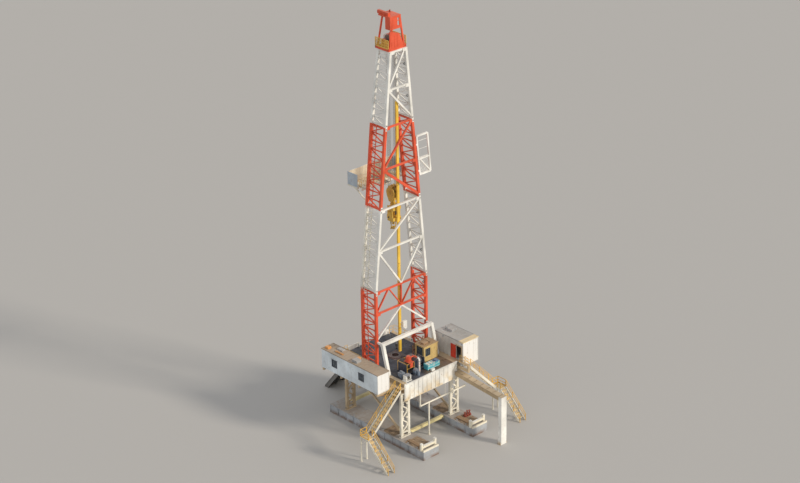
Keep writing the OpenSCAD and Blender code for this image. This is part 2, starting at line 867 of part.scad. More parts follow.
module mast_back_4() {
    z0 = mast_z3;
    z1 = mast_z4 - back_bar / 2;
    color(white) at_well() back_face_bars(z0, mast_z4) {
        strip([mast_half(z0), z0 + 160], [-mast_half(girt4_z), girt4_z], back_bar);
        girt(girt4_z);
        strip([-mast_half(girt4_z), girt4_z], [mast_half(z1) - 100, z1], back_bar);
        girt(z1);
    }
}

// Vertical track for the top drive, held to the inner side of the back girts
module torque_track() {
    y0 = back_face;
    stand = 60;
    color(yellow) at_well() {
        block([-track_w / 2, y0 + stand, track_z0], [track_w / 2, y0 + stand + track_d, track_z1]);
        for (z = [panel_girt_z, mast_z1 - stand, girt2_z, mast_z2 - stand, girt3_z, mast_z3 - stand]) {
            block([-track_w / 2 - stand, y0, z - 40], [track_w / 2 + stand, y0 + stand, z + 40]);
        }
    }
}

// One straight run of ladder as an outline of (y, z), with brackets towards the front chord
module ladder_run(length) {
    half = 220;
    for (s = [-1, 1]) translate([s * half - 20, 0]) square([40, length]);
    rungs = floor(length / 300);
    for (i = [1 : rungs]) translate([-half, (i - 0.5) * length / rungs - 12]) square([2 * half, 24]);
    stays = max(1, round(length / 2900));
    for (i = [0 : stays]) translate([half - 10, 100 + i * (length - 240) / stays]) square([150, 40]);
}

// Ladder up the left side, beside the front chord
module mast_ladder() {
    y = mast_depth / 2 - mast_chord / 2 - 300;
    off = mast_chord / 2 + 40 + seat;
    top = (mast_z3 - mast_z1) / cos(lean);
    color(white) at_well() {
        translate([-mast_foot_half - off, y, floor_z]) on_side(0, 40) ladder_run(mast_z1 - floor_z - 20);
        translate([-mast_foot_half, y, mast_z1]) rotate([0, lean, 0])
            translate([-off, 0, 10]) on_side(0, 40) ladder_run(top - 20);
    }
}

// Crown

module crown_frame() {
    z = mast_z4;
    top = z + crown_beam;
    rear = -crown_rear + 80;
    cap = top_z - 220;
    hood = top + crown_panel_h + 60;
    bearing = sheaves * sheave_pitch / 2 + 230;
    color(red) at_well() {
        difference() {
            block([-crown_half, -crown_rear, z], [crown_half, crown_front, top]);
            block([-bearing, -380, z - 10], [bearing, 500, top + 10]);
        }
        on_back(rear, 60) polygon([
            [-bearing - 170, top], [bearing + 120, top], [205, top + 0.75 * crown_panel_h],
            [-bearing - 120, top + crown_panel_h]
        ]);
        for (s = [-1, 1]) {
            on_side(s * (bearing + 60) - 60, 120) polygon([
                [-300, top], [300, top], [110, top + axle_h + 130], [-110, top + axle_h + 130]
            ]);
            bar([s * 640, rear - 20, top - 40], [s * 280, rear - 20, cap - 20], 100);
            bar([s * 640, crown_front - 100, top - 40], [s * 280, 410, cap - 20], 100);
        }
        block([-620, rear - 80, cap - 100], [350, 480, cap]);
        block([-560, -400, cap], [-380, 640, top_z]);
        on_back(rear, 60) difference() {
            polygon([[-600, hood], [350, hood], [350, cap], [-600, cap]]);
            polygon([[60, hood + 140], [260, hood + 140], [200, cap - 180], [60, cap - 180]]);
        }
        block([-600, rear - 60, hood], [-560, rear + 400, cap]);
    }
}

// A grooved sheave with its axis along X
module sheave(r, t, hub) {
    rotate([0, 90, 0]) rotate_extrude($fn = 64) polygon([
        [hub, -t / 2], [r, -t / 2], [r, -t / 2 + 6], [r - groove, -8], [r - groove, 8],
        [r, t / 2 - 6], [r, t / 2], [hub, t / 2]
    ]);
}

module crown_sheaves() {
    z = mast_z4 + crown_beam + axle_h;
    color("dimgray") at_well() translate([0, 0, z]) {
        for (i = [0 : sheaves - 1]) translate([sheave_x(i), 0, 0]) sheave(sheave_r, sheave_t, 40);
        rotate([0, 90, 0]) cylinder(r = 60, h = sheaves * sheave_pitch + 460, center = true);
    }
}

// Guard rails on both sides of the crown platform
module crown_rails() {
    z = mast_z4 + crown_beam;
    t = 36;
    high = 600;
    color(yellow) at_well() for (s = [-1, 1]) {
        on_side(s * (crown_half - t / 2) - t / 2, t) {
            for (h = [high / 3, high * 2 / 3, high]) strip([-crown_rear, z + h], [crown_front, z + h], t);
            translate([-crown_rear, z]) square([crown_front + crown_rear, 80]);
            for (i = [0 : 4]) {
                y = -crown_rear + t / 2 + i * (crown_front + crown_rear - t) / 4;
                strip([y, z], [y, z + high + t / 2], t);
            }
        }
    }
}

// Racking board

module racking_board() {
    y0 = mast_depth / 2 + mast_chord / 2 + seat;
    z = board_z;
    top = z + board_beam;
    in = mast_half(z);
    pitch = (board_front - y0 - 300) / fingers;
    color("ivory") at_well() {
        translate([0, 0, z]) linear_extrude(board_beam) {
            for (s = [-1, 1]) {
                translate([s * in - 60, y0]) square([120, board_front - y0]);
                translate([s * (board_half - 60) - 60, board_front - wind_side]) square([120, wind_side]);
            }
            translate([-board_half, board_front - 120]) square([2 * board_half, 120]);
            translate([-board_half, y0 + 60]) square([2 * board_half, 100]);
            for (i = [1 : fingers]) translate([-in, y0 + 160 + i * pitch - 20]) square([2 * in, 40]);
            translate([-walk_w / 2, walk_in]) square([walk_w, board_front - walk_in]);
        }
        for (s = [-1, 1]) on_side(s * (in + 60) - 40, 80) intersection() {
            strip([y0 - 100, z - strut_drop], [board_front - 60, z + 60], 80);
            translate([y0, z - 2 * strut_drop]) square([board_front - y0, 2 * strut_drop + board_beam]);
        }
    }
}

module racking_wall() {
    z = board_z + board_beam;
    t = 30;
    color("lightsteelblue") at_well() {
        block([-board_half, board_front - t, z], [board_half, board_front, z + wind_h]);
        for (s = [-1, 1]) block([s * board_half - (s > 0 ? t : 0), board_front - wind_side, z],
            [s * board_half + (s > 0 ? 0 : t), board_front, z + wind_h]);
    }
}

// White basket frame outside the right rear chord
module stabbing_frame() {
    z0 = 18050;
    z1 = 20900;
    gap = 250;
    width = 1000;
    low_h = 1150;
    frame_bar = 110;
    color(white) at_well() {
        on_back(back_y + 60, 120) {
            for (o = [gap, gap + width])
                strip([mast_half(z0) + o, z0], [mast_half(z1) + o, z1], frame_bar);
            for (z = [z0, z0 + low_h, z1]) {
                x = mast_half(z) + gap;
                strip([x, z], [x + width, z], frame_bar);
            }
            strip([mast_half(z0) + gap, z0 + low_h], [mast_half(z0) + gap + width, z0], 80);
            for (z = [z0 + 300, z1 - 600]) polygon([
                [mast_out(z - 50), z - 50], [mast_half(z - 50) + gap, z - 50],
                [mast_half(z + 50) + gap, z + 50], [mast_out(z + 50), z + 50]
            ]);
        }
    }
}

// Hoist

// Falls of line between the crown sheaves and the travelling block
module drill_lines() {
    z1 = mast_z4 + crown_beam + axle_h;
    z0 = hoist_z + drive_h + block_axle;
    y = sheave_r - groove + line_d / 2 + seat;
    color("dimgray") at_well() for (i = [1 : sheaves - 2]) for (s = [-1, 1]) {
        translate([sheave_x(i), s * y, z0]) cylinder(d = line_d, h = z1 - z0, $fn = 8);
    }
}

module travelling_block() {
    inner = block_w / 2 - cheek_t;
    round_r = sheave_r + 45;
    foot = 170;
    color("goldenrod") at_well() translate([0, 0, hoist_z + drive_h]) {
        for (x = [-block_w / 2, inner]) on_side(x, cheek_t) {
            translate([0, block_axle]) circle(r = round_r, $fn = 64);
            polygon([
                [-round_r + 5, block_axle], [-150, foot - 40], [150, foot - 40], [round_r - 5, block_axle]
            ]);
            translate([-190, block_axle]) square([380, block_h - block_axle]);
        }
        for (i = [1 : sheaves - 2]) translate([sheave_x(i), 0, block_axle]) sheave(sheave_r, sheave_t, 40);
        translate([0, 0, block_axle]) rotate([0, 90, 0]) cylinder(r = 70, h = block_w + 70, center = true);
        block([-inner - 5, -120, foot], [inner + 5, 120, foot + 160]);
        block([-inner - 5, -150, block_h - 60], [inner + 5, 150, block_h]);
        block([-120, -100, 0], [120, 100, foot + 20]);
    }
}

module top_drive() {
    half = drive_w / 2;
    deep = drive_d / 2;
    case_z = 800;
    yoke_z = drive_h - 250;
    link_x = 200;
    color("goldenrod") at_well() translate([0, 0, hoist_z]) {
        difference() {
            cylinder(r = 160, h = 110);
            translate([0, 0, -1]) cylinder(r = 70, h = 120);
        }
        for (s = [-1, 1]) {
            block([s * link_x - 60, -45, 20], [s * link_x + 60, 45, 90]);
            translate([s * link_x, 0, 60]) cylinder(d = 60, h = case_z - 100);
            block([s * (half - 20) - 20, -deep, case_z - 160],
                [s * (half - 20) + 20, deep * 0.6, yoke_z + 100]);
            translate([s * 170, 60, case_z + 240]) cylinder(r = 130, h = 460);
            translate([s * 170, 60, case_z + 690]) cylinder(r = 80, h = 60);
        }
        translate([0, 0, 300]) cylinder(r = 60, h = case_z - 300);
        translate([0, 0, case_z - 180]) cylinder(r = 240, h = 190);
        block([-half + 20, -deep + 80, case_z], [half - 20, deep - 60, case_z + 250]);
        block([-130, -deep + 60, case_z + 200], [130, 20, yoke_z + 20]);
        block([-half + 20, -130, yoke_z], [half - 20, 90, yoke_z + 100]);
        block([-160, -120, yoke_z + 90], [160, 120, drive_h]);
        drive_guide(case_z - 140, case_z + 160);
        drive_guide(yoke_z - 220, yoke_z + 80);
    }
}

// Guide shoe of the top drive round the front of the torque track
module drive_guide(z0, z1) {
    in = track_w / 2 + track_gap;
    front = back_face + 60 + track_d + track_gap;
    rear = front - 120;
    plate = 32;
    for (s = [-1, 1]) translate([s * (in + plate / 2), (rear + front) / 2 + 20, (z0 + z1) / 2])
        cube([plate, front - rear + 40, z1 - z0], center = true);
    block([-in - plate, front, z0], [in + plate, front + plate, z1]);
    block([-drive_w / 2, front + plate - 5, z0 + 40], [drive_w / 2, -drive_d / 2 + 5, z1 - 40]);
}

// Cabins

module doghouse_shell() {
    x0 = -floor_edge() - dog_gap - dog_w;
    y0 = -dog_rear;
    z = dog_z;
    sill = z + 440;
    color("lightsteelblue") at_well() difference() {
        block([x0, y0, z], [x0 + dog_w, y0 + dog_l, z + dog_h]);
        block([x0 + wall_t, y0 + wall_t, porch_z],
            [x0 + dog_w - wall_t, y0 + dog_l - wall_t, z + dog_h + 10]);
        for (y = window_places()) {
            block([x0 - 10, y - window_w / 2, sill], [x0 + wall_t + 10, y + window_w / 2, sill + window_w]);
        }
        block([x0 + dog_w - wall_t - 10, dog_door_y, porch_z + 20],
            [x0 + dog_w + 10, dog_door_y + dog_door_w, porch_z + 20 + dog_door_h]);
    }
}

function window_places() = [-dog_rear + dog_l * 0.29, -dog_rear + dog_l * 0.77];

module doghouse_roof() {
    x0 = -floor_edge() - dog_gap - dog_w;
    z = dog_z + dog_h;
    over = 20;
    color("tan") at_well() block([x0 - over, -dog_rear - over, z],
        [x0 + dog_w + over, -dog_rear + dog_l + over, z + 50]);
}

module doghouse_glass() {
    x0 = -floor_edge() - dog_gap - dog_w;
    sill = dog_z + 440;
    color("skyblue") at_well() for (y = window_places()) {
        block([x0 + 20, y - window_w / 2, sill], [x0 + 30, y + window_w / 2, sill + window_w]);
    }
}

// Cabin walls and floor on a skirt, with the doorway and the hinge pins of its door
module cabin_shell() {
    x0 = cab_x;
    y0 = -cab_rear;
    x1 = cab_x + cab_w;
    y1 = -cab_rear + cab_l;
    color("lightgray") at_well() {
        difference() {
            block([x0, y0, cab_z], [x1, y1, cab_z + cab_h]);
            block([x0 + wall_t, y0 + wall_t, floor_z], [x1 - wall_t, y1 - wall_t, cab_z + cab_h + 10]);
            block([x0 + wall_t, y0 + wall_t, cab_z - 10], [x1 - wall_t, y1 - wall_t, floor_z - deck_t]);
            block([x0 - 10, door_y, door_sill], [x0 + wall_t + 10, door_y + door_w, door_sill + door_h]);
        }
        for (z = hinge_places()) {
            for (d = [-hinge_h - seat, hinge_h / 2 + seat]) {
                block([hinge_x - 8, hinge_y - 8, z + d], [cab_x, hinge_y + 8, z + d + hinge_h / 2]);
            }
            translate([hinge_x, hinge_y, z - hinge_h]) cylinder(r = 5, h = 2 * hinge_h);
        }
    }
}

function hinge_places() = [door_sill + 200, door_sill + door_h - 200];

module cabin_roof() {
    color("gray") at_well() block([cab_x - 30, -cab_rear - 30, cab_z + cab_h],
        [cab_x + cab_w + 30, -cab_rear + cab_l + 30, cab_z + cab_h + 50]);
}

// Red door leaf on two knuckles, folded back against the wall
module cabin_door() {
    color("red") at_well() {
        block([hinge_x - door_t / 2, hinge_y + hinge_off, door_sill + 6],
            [hinge_x + door_t / 2, hinge_y + hinge_off + door_w + 8, door_sill + door_h + 4]);
        for (z = hinge_places()) difference() {
            union() {
                translate([hinge_x, hinge_y, z - hinge_h / 2]) cylinder(r = 10, h = hinge_h);
                block([hinge_x - 4, hinge_y, z - hinge_h / 2],
                    [hinge_x + 4, hinge_y + hinge_off + 1, z + hinge_h / 2]);
            }
            translate([hinge_x, hinge_y, z - hinge_h]) cylinder(r = 5 + seat, h = 2 * hinge_h);
        }
    }
}

// Stairs

// A flight that climbs towards -X from (0, 0, 0): two stringers and the treads between them
module flight(run, rise, treads) {
    deep = stringer_h / cos(atan(rise / run));
    for (y = [0, stair_w + stringer_t]) translate([0, y + stringer_t, 0]) rotate([90, 0, 0])
        linear_extrude(stringer_t)
            polygon([[0, 0], [-run, rise], [-run, rise - deep], [-deep * run / rise, 0]]);
    going = run / treads;
    for (i = [1 : treads - 1]) {
        z = i * rise / treads;
        block([-(i + 1) * going, stringer_t, z - tread_t], [-i * going - tread_t, stringer_t + stair_w, z]);
    }
}

// Handrails over both stringers of a flight
module flight_rails(run, rise) {
    slope = rise / run;
    for (y = [0, stair_w + 2 * stringer_t - rail_t]) translate([0, y + rail_t, 0]) rotate([90, 0, 0])
        linear_extrude(rail_t) {
            for (h = [rail_h / 2, rail_h]) polygon([
                [0, h], [-run, rise + h], [-run, rise + h - rail_t], [0, h - rail_t]
            ]);
            for (i = [0 : 3]) {
                x = -(run - rail_t) * i / 3;
                polygon([[x, -x * slope], [x - rail_t, (rail_t - x) * slope],
                    [x - rail_t, (rail_t - x) * slope + rail_h - 10], [x, -x * slope + rail_h - 10]]);
            }
        }
}

module stair_left_upper() {
    color("ivory") at_well() translate([-left_landing_x, -left_stair_y, landing_z]) mirror([1, 0, 0])
        flight(upper_run, porch_z - landing_z, upper_treads);
}

// Lower flight, landing and its posts
module lower_stair() {
    block([-wide, -wide * 0.4, landing_z - 50], [0, wide, landing_z]);
    for (x = [-wide, -80]) block([x, wide - 80, 0], [x + 80, wide, landing_z - 50]);
    translate([-wide, -wide * 0.4 - lower_run, 0]) rotate([0, 0, -90])
        flight(lower_run, landing_z, lower_treads);
}

module stair_left_lower() {
    color("ivory") at_well() translate([-left_landing_x, -left_stair_y, 0]) lower_stair();
}

module landing_rails() {
    translate([-wide, -wide * 0.4, landing_z]) {
        for (h = [rail_h / 2, rail_h]) {
            block([0, 0, h - rail_t], [rail_t, wide * 1.4, h]);
            block([0, wide * 1.4 - rail_t, h - rail_t], [wide, wide * 1.4, h]);
        }
        for (p = [[0, 0], [0, wide * 1.4 - rail_t], [wide - rail_t, wide * 1.4 - rail_t]])
            block([p[0], p[1], 0], [p[0] + rail_t, p[1] + rail_t, rail_h]);
    }
    translate([-wide, -wide * 0.4 - lower_run, 0]) rotate([0, 0, -90]) flight_rails(lower_run, landing_z);
}

module stair_left_rails() {
    color(yellow) at_well() translate([-left_landing_x, -left_stair_y, 0]) {
        landing_rails();
        translate([0, 0, landing_z]) mirror([1, 0, 0]) flight_rails(upper_run, porch_z - landing_z);
    }
}

module stair_right_upper() {
    color("ivory") at_well() translate([right_landing_x, -right_stair_y, landing_z])
        flight(upper_run, floor_z - landing_z, upper_treads);
}

module stair_right_lower() {
    color("ivory") at_well() translate([right_landing_x, -right_stair_y, 0]) mirror([1, 0, 0])
        lower_stair();
}

module stair_right_rails() {
    color(yellow) at_well() translate([right_landing_x, -right_stair_y, 0]) {
        mirror([1, 0, 0]) landing_rails();
        translate([0, 0, landing_z]) flight_rails(upper_run, floor_z - landing_z);
    }
}

// Cable bridge

// Trough from the rear of the floor to the cable column
module cable_bridge() {
    y0 = -column_y + column_d / 2;
    y1 = -floor_rear;
    z0 = column_h;
    z1 = column_h + bridge_drop;
    skin = 30;
    color("tan") at_well() difference() {
        on_side(column_x - bridge_w / 2, bridge_w) polygon([
            [y0, z0 - bridge_d], [y1, z1 - bridge_d], [y1, z1], [y0, z0]
        ]);
        on_side(column_x - bridge_w / 2 + skin, bridge_w - 2 * skin) polygon([
            [y0 - 100, z0 - bridge_d + skin], [y1 + 100, z1 - bridge_d + skin],
            [y1 + 100, z1 + 100], [y0 - 100, z0 + 100]
        ]);
    }
}

module cable_column() {
    skin = 30;
    face = -column_y + column_d / 2;
    back = -column_y - column_d / 2;
    x0 = column_x - column_w / 2;
    x1 = column_x + column_w / 2;
    color(white) at_well() difference() {
        block([x0, back, 0], [x1, face, column_h]);
        block([x0 + skin, back + skin, skin], [x1 - skin, face - skin, column_h + 10]);
        block([column_x - bridge_w / 2 + skin, face - skin - 10, column_h - bridge_d + skin],
            [column_x + bridge_w / 2 - skin, face + 10, column_h + 10]);
    }
}

base_box_left();
base_box_right();
base_spreaders();
legs_rear();
legs_front();
leg_braces();
floor_frame();
left_porch();
right_porch();
rear_panel();
floor_deck();
rotary_table();
drawworks();
a_frame();
driller_cabin();
gooseneck_pipe();
floor_locker();
air_winch();
v_door_ramp();
front_guard();
drain_line();
mast_sides_1();
mast_sides_2();
mast_sides_3();
mast_sides_4();
mast_back_1();
mast_back_2();
mast_back_3();
mast_back_4();
mast_knee_brace();
crown_frame();
crown_sheaves();
crown_rails();
racking_board();
racking_wall();
stabbing_frame();
torque_track();
mast_ladder();
drill_lines();
travelling_block();
top_drive();
doghouse_shell();
doghouse_roof();
doghouse_glass();
cabin_shell();
cabin_roof();
cabin_door();
stair_left_upper();
stair_left_lower();
stair_left_rails();
stair_right_upper();
stair_right_lower();
stair_right_rails();
cable_bridge();
cable_column();
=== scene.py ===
import json
import math
from itertools import product

import bmesh
import bpy
from mathutils import Matrix, Vector


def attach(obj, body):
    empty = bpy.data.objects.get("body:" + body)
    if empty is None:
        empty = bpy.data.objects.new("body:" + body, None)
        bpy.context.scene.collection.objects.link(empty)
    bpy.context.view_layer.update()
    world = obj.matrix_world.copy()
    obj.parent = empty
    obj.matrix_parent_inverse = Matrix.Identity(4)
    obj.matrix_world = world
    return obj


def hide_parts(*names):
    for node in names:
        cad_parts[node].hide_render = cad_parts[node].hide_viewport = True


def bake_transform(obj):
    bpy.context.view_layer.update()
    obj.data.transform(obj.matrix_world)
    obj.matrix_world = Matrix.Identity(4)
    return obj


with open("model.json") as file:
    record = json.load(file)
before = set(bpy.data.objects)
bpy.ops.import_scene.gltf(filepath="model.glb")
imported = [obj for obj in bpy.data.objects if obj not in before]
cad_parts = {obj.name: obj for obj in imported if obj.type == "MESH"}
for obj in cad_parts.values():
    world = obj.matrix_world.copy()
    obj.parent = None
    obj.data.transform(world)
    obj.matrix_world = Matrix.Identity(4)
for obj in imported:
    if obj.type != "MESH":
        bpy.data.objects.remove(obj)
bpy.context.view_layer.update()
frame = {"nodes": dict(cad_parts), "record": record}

# Places are in millimetres from the well centre, as in the part's source; WELL moves them into the frame
WELL = Vector((72.5, 709.582, 0.0))
MM = 0.001
FLOOR_Z, MAST_Z1, MAST_Z2, MAST_Z3, MAST_Z4 = 4725, 10600, 16500, 22300, 27450
CROWN_Z, CROWN_AXLE_Z, CAP_Z = 27610, 28030, 29780
HOIST_Z, BLOCK_Z, BLOCK_AXLE_Z = 14450, 16350, 17140
BOARD_Z, BOARD_TOP = 17550, 17670
BASE_X, BASE_TOP, REST_Y, LEG_TOP = 2330, 620, -5700, 4025
ON_FLOOR = (0, 0, FLOOR_Z)
RIGHT, LEFT, FRONT, REAR, UP, DOWN = (1, 0, 0), (-1, 0, 0), (0, 1, 0), (0, -1, 0), (0, 0, 1), (0, 0, -1)


def at(x, y, z):
    return (Vector((x, y, z)) + WELL) * MM


def row(first, step, count):
    return [first + step * k for k in range(count)]


def circle(centre, radius, count, axis=RIGHT):
    """Points evenly spaced on a circle, which stands across RIGHT or lies flat when axis is UP"""
    x, y, z = centre
    round_it = [(radius * math.cos(a), radius * math.sin(a)) for a in row(0, 2 * math.pi / count, count)]
    if axis == UP:
        return [(x + a, y + b, z) for a, b in round_it]
    return [(x, y + a, z + b) for a, b in round_it]


def add(name, data):
    """A new object in the scene"""
    made = bpy.data.objects.new(name, data)
    bpy.context.scene.collection.objects.link(made)
    return made


# Camera, light, floor


def camera():
    """The photograph's camera, at half its distance, turned to the rig with a longer lens"""
    eye = at(-94940, -103500, 78285)
    aim = at(450, -150, 13350)
    forward = (aim - eye).normalized()
    right = forward.cross(Vector(UP)).normalized()
    turn = Matrix((right, right.cross(forward), -forward)).transposed().to_4x4()
    data = bpy.data.cameras.new("view")
    data.lens = 102.5
    data.sensor_width = 36.0
    data.clip_start = 1.0
    data.clip_end = 1000.0
    cam = add("view", data)
    cam.matrix_world = Matrix.Translation(eye) @ turn @ Matrix.Rotation(math.radians(-0.8), 4, "Z")
    bpy.context.scene.camera = cam


def lights():
    world = bpy.data.worlds.new("studio")
    bpy.context.scene.world = world
    world.use_nodes = True
    background = world.node_tree.nodes["Background"]
    background.inputs["Color"].default_value = (0.93, 0.96, 1.0, 1.0)
    background.inputs["Strength"].default_value = 0.58
    for name, power, angle, way, tint in (
        ("key", 2.35, 10, (0.36, -0.86, 0.46), (1.0, 0.92, 0.80)),
        ("fill", 0.3, 60, (-0.8, -0.2, 0.7), (0.92, 0.96, 1.0)),
    ):
        data = bpy.data.lights.new(name, "SUN")
        data.energy = power
        data.angle = math.radians(angle)
        data.color = tint
        add(name, data).rotation_euler = Vector(way).to_track_quat("Z", "Y").to_euler()


def studio_floor():
    mesh = bpy.data.meshes.new("studio_floor")
    reach = 400.0
    corners = [(-reach, -reach, 0), (reach, -reach, 0), (reach, reach, 0), (-reach, reach, 0)]
    mesh.from_pydata(corners, [], [(0, 1, 2, 3)])
    Shader("studio_floor").set(Base_Color=(0.47, 0.45, 0.425), Roughness=0.95)
    mesh.materials.append(MATERIALS["studio_floor"])
    floor = add("studio_floor", mesh)


# Materials

MATERIALS = {}


class Shader:
    """A material with a principled shader, and short names for the nodes that feed it"""

    def __init__(self, name):
        material = bpy.data.materials.new(name)
        material.use_nodes = True
        self.tree = material.node_tree
        self.out = self.tree.nodes["Principled BSDF"]
        self.coords = self.tree.nodes.new("ShaderNodeTexCoord").outputs["Object"]
        MATERIALS[name] = material

    def node(self, kind, inputs=None, **settings):
        node = self.tree.nodes.new(kind)
        for key, value in settings.items():
            setattr(node, key, value)
        for key, value in (inputs or {}).items():
            self.feed(node.inputs[key], value)
        return node

    def feed(self, socket, value):
        if isinstance(value, bpy.types.NodeSocket):
            self.tree.links.new(value, socket)
        elif isinstance(value, tuple) and len(value) == 3 and len(socket.default_value) == 4:
            socket.default_value = (*value, 1.0)
        else:
            socket.default_value = value

    def set(self, **values):
        for key, value in values.items():
            self.feed(self.out.inputs[key.replace("_", " ")], value)

    def mapped(self, **changes):
        return self.node("ShaderNodeMapping", {"Vector": self.coords, **changes}).outputs["Vector"]

    def noise(self, scale, detail=4.0, rough=0.55, coords=None, offset=0.0):
        if offset:
            coords = self.mapped(Location=(offset, offset, offset))
        inputs = {"Vector": coords or self.coords, "Scale": scale, "Detail": detail, "Roughness": rough}
        return self.node("ShaderNodeTexNoise", inputs).outputs["Fac"]

    def ramp(self, value, low, high, to_low=0.0, to_high=1.0):
        inputs = {"Value": value, "From Min": low, "From Max": high, "To Min": to_low, "To Max": to_high}
        return self.node("ShaderNodeMapRange", inputs).outputs["Result"]

    def beyond(self, value, edge, way=1):
        """1 past the edge, or before it when way is -1, and 0 on its other side"""
        soft = 0.004 * way
        return self.ramp(value, edge - soft, edge + soft)

    def maths(self, operation, a, b):
        node = self.node("ShaderNodeMath", operation=operation)
        self.feed(node.inputs[0], a)
        self.feed(node.inputs[1], b)
        return node.outputs[0]

    def times(self, a, b):
        return self.maths("MULTIPLY", a, b)

    def mix(self, amount, a, b):
        node = self.node("ShaderNodeMix", {"Factor": amount}, data_type="RGBA")
        self.feed(node.inputs[6], a)
        self.feed(node.inputs[7], b)
        return node.outputs[2]

    def place(self, axis):
        """The place along an axis, in metres"""
        return self.node("ShaderNodeSeparateXYZ", {"Vector": self.coords}).outputs[axis]

    def facing(self, axis):
        """How far the face looks along an axis, from -1 to 1"""
        normal = self.node("ShaderNodeNewGeometry").outputs["Normal"]
        return self.node("ShaderNodeSeparateXYZ", {"Vector": normal}).outputs[axis]

    def bump(self, height, distance, strength):
        node = self.node("ShaderNodeBump", {"Height": height, "Distance": distance, "Strength": strength})
        self.set(Normal=node.outputs["Normal"])


def rear_painted(limit, colour=(0.88, 0.87, 0.84)):
    """Another colour, white as a rule, on what lies behind y = limit, in millimetres from the well"""

    def apply(s, tone):
        return s.mix(s.beyond(s.place("Y"), (limit + WELL.y) * MM, -1), tone, colour)

    return apply


def painted_sunlit_cream(s, tone):
    """Painted sunlight: cream on the faces that look back at the mast, the side the key light falls on; the
    other faces keep the wind wall's blue-grey, a painted shade
    """
    return s.mix(s.ramp(s.facing("Y"), -0.5, -0.9), tone, (0.80, 0.70, 0.52))


def far_end_red(s, tone):
    """White paint on the air duct's rising pipe, red beyond its first bend"""
    bend_y = -2862
    return s.mix(s.beyond(s.place("Y"), (bend_y + WELL.y) * MM), (0.86, 0.84, 0.78), tone)


def mast_bands(s, tone):
    """Red paint at the heights of the mast's red sections"""
    z = s.place("Z")
    upper = s.times(s.beyond(z, MAST_Z2 * MM), s.beyond(z, MAST_Z3 * MM, -1))
    return s.mix(s.maths("ADD", s.beyond(z, MAST_Z1 * MM, -1), upper), tone, (0.80, 0.10, 0.035))


def base_tones(s, tone):
    """Rust at the foot of the base boxes, cream paint on the rests that stand on them"""
    z = s.place("Z")
    foot = s.times(s.ramp(z, 0.30, 0.05), s.ramp(s.noise(1.6, 5.0, offset=6.0), 0.36, 0.58))
    rusty = s.mix(s.times(foot, 0.85), tone, (0.20, 0.11, 0.065))
    rest_edge = (REST_Y + 200 + WELL.y) * MM
    rest = s.times(s.ramp(z, 0.628, 0.634), s.ramp(s.place("Y"), rest_edge + 0.01, rest_edge))
    return s.mix(rest, rusty, (0.86, 0.80, 0.64))


def low_grime(s, tone):
    """Tan grime that grows towards the rear panel's lower edge"""
    low_z, high_z = 3450 * MM, 4500 * MM
    grime = s.times(s.ramp(s.place("Z"), high_z, low_z), s.ramp(s.noise(2.2, 5.0, offset=9.0), 0.4, 0.62))
    return s.mix(s.times(grime, 0.7), tone, (0.72, 0.52, 0.24))


DUST_TAN, STREAK_BROWN = (0.50, 0.40, 0.28), (0.33, 0.22, 0.13)
RUST_BROWN, CHIP_BROWN = (0.20, 0.075, 0.03), (0.11, 0.07, 0.05)
DUST_COLOURS = {"base_grey": (0.34, 0.26, 0.19), "cabin_tan": (0.36, 0.235, 0.17)}
# Second colours by finish, most of them real paint, grime and rust. The doghouse's entry is painted light:
# its long walls keep a blue-grey that is painted shade on white paint, and its rear end, which the key light
# falls on, gets the white.
COATS_AND_PAINTED_LIGHT = {
    "base_grey": base_tones, "house_blue_grey": rear_painted(-2944), "cabin_grey": rear_painted(-3969),
    "roof_grey": rear_painted(-3560, (0.80, 0.64, 0.38)), "rear_white": low_grime, "wind_wall": painted_sunlit_cream,
    "duct_paint": far_end_red, "ladder_paint": mast_bands,
}


def paint(name, colour, dust, rust, streaks, rough=0.5):
    """Weathered paint: tone variation, dust on upward faces, rain streaks, chips down to rust"""
    s = Shader(name)
    broad = s.noise(0.7, 3.0)
    middle = s.noise(5.0, 5.0, offset=3.1)
    fine = s.noise(46.0, 3.0, offset=7.7)
    run = s.noise(1.0, 4.0, 0.6, coords=s.mapped(Scale=(9.0, 9.0, 0.55)))
    dark = tuple(c * 0.72 for c in colour)
    light = tuple(min(1.0, c * 1.10 + 0.015) for c in colour)
    tone = s.mix(s.ramp(broad, 0.32, 0.68), dark, light)
    tone = s.mix(s.ramp(middle, 0.45, 0.75, 0.0, 0.35), tone, tuple(c * 0.85 for c in colour))
    # Second colours: real coats, grime and rust, and painted light and shade on the doghouse's walls and the
    # wind walls
    if name in COATS_AND_PAINTED_LIGHT:
        tone = COATS_AND_PAINTED_LIGHT[name](s, tone)
    if streaks:
        tone = s.mix(s.ramp(run, 0.56, 0.76, 0.0, streaks), tone, STREAK_BROWN)
    patches = s.times(s.ramp(middle, 0.60, 0.70), s.ramp(run, 0.42, 0.62))
    tone = s.mix(s.times(patches, rust), tone, RUST_BROWN)
    tone = s.mix(s.ramp(fine, 0.67, 0.71, 0.0, 0.5), tone, CHIP_BROWN)
    settled = s.times(s.ramp(s.facing("Z"), 0.35, 0.95), s.ramp(middle, 0.25, 0.65, 0.45, 1.0))
    tone = s.mix(s.times(settled, dust), tone, DUST_COLOURS.get(name, DUST_TAN))
    s.set(Base_Color=tone, Roughness=s.ramp(middle, 0.3, 0.7, rough - 0.1, rough + 0.16))
    s.bump(s.maths("ADD", s.times(fine, 0.35), middle), 0.004, 0.5)


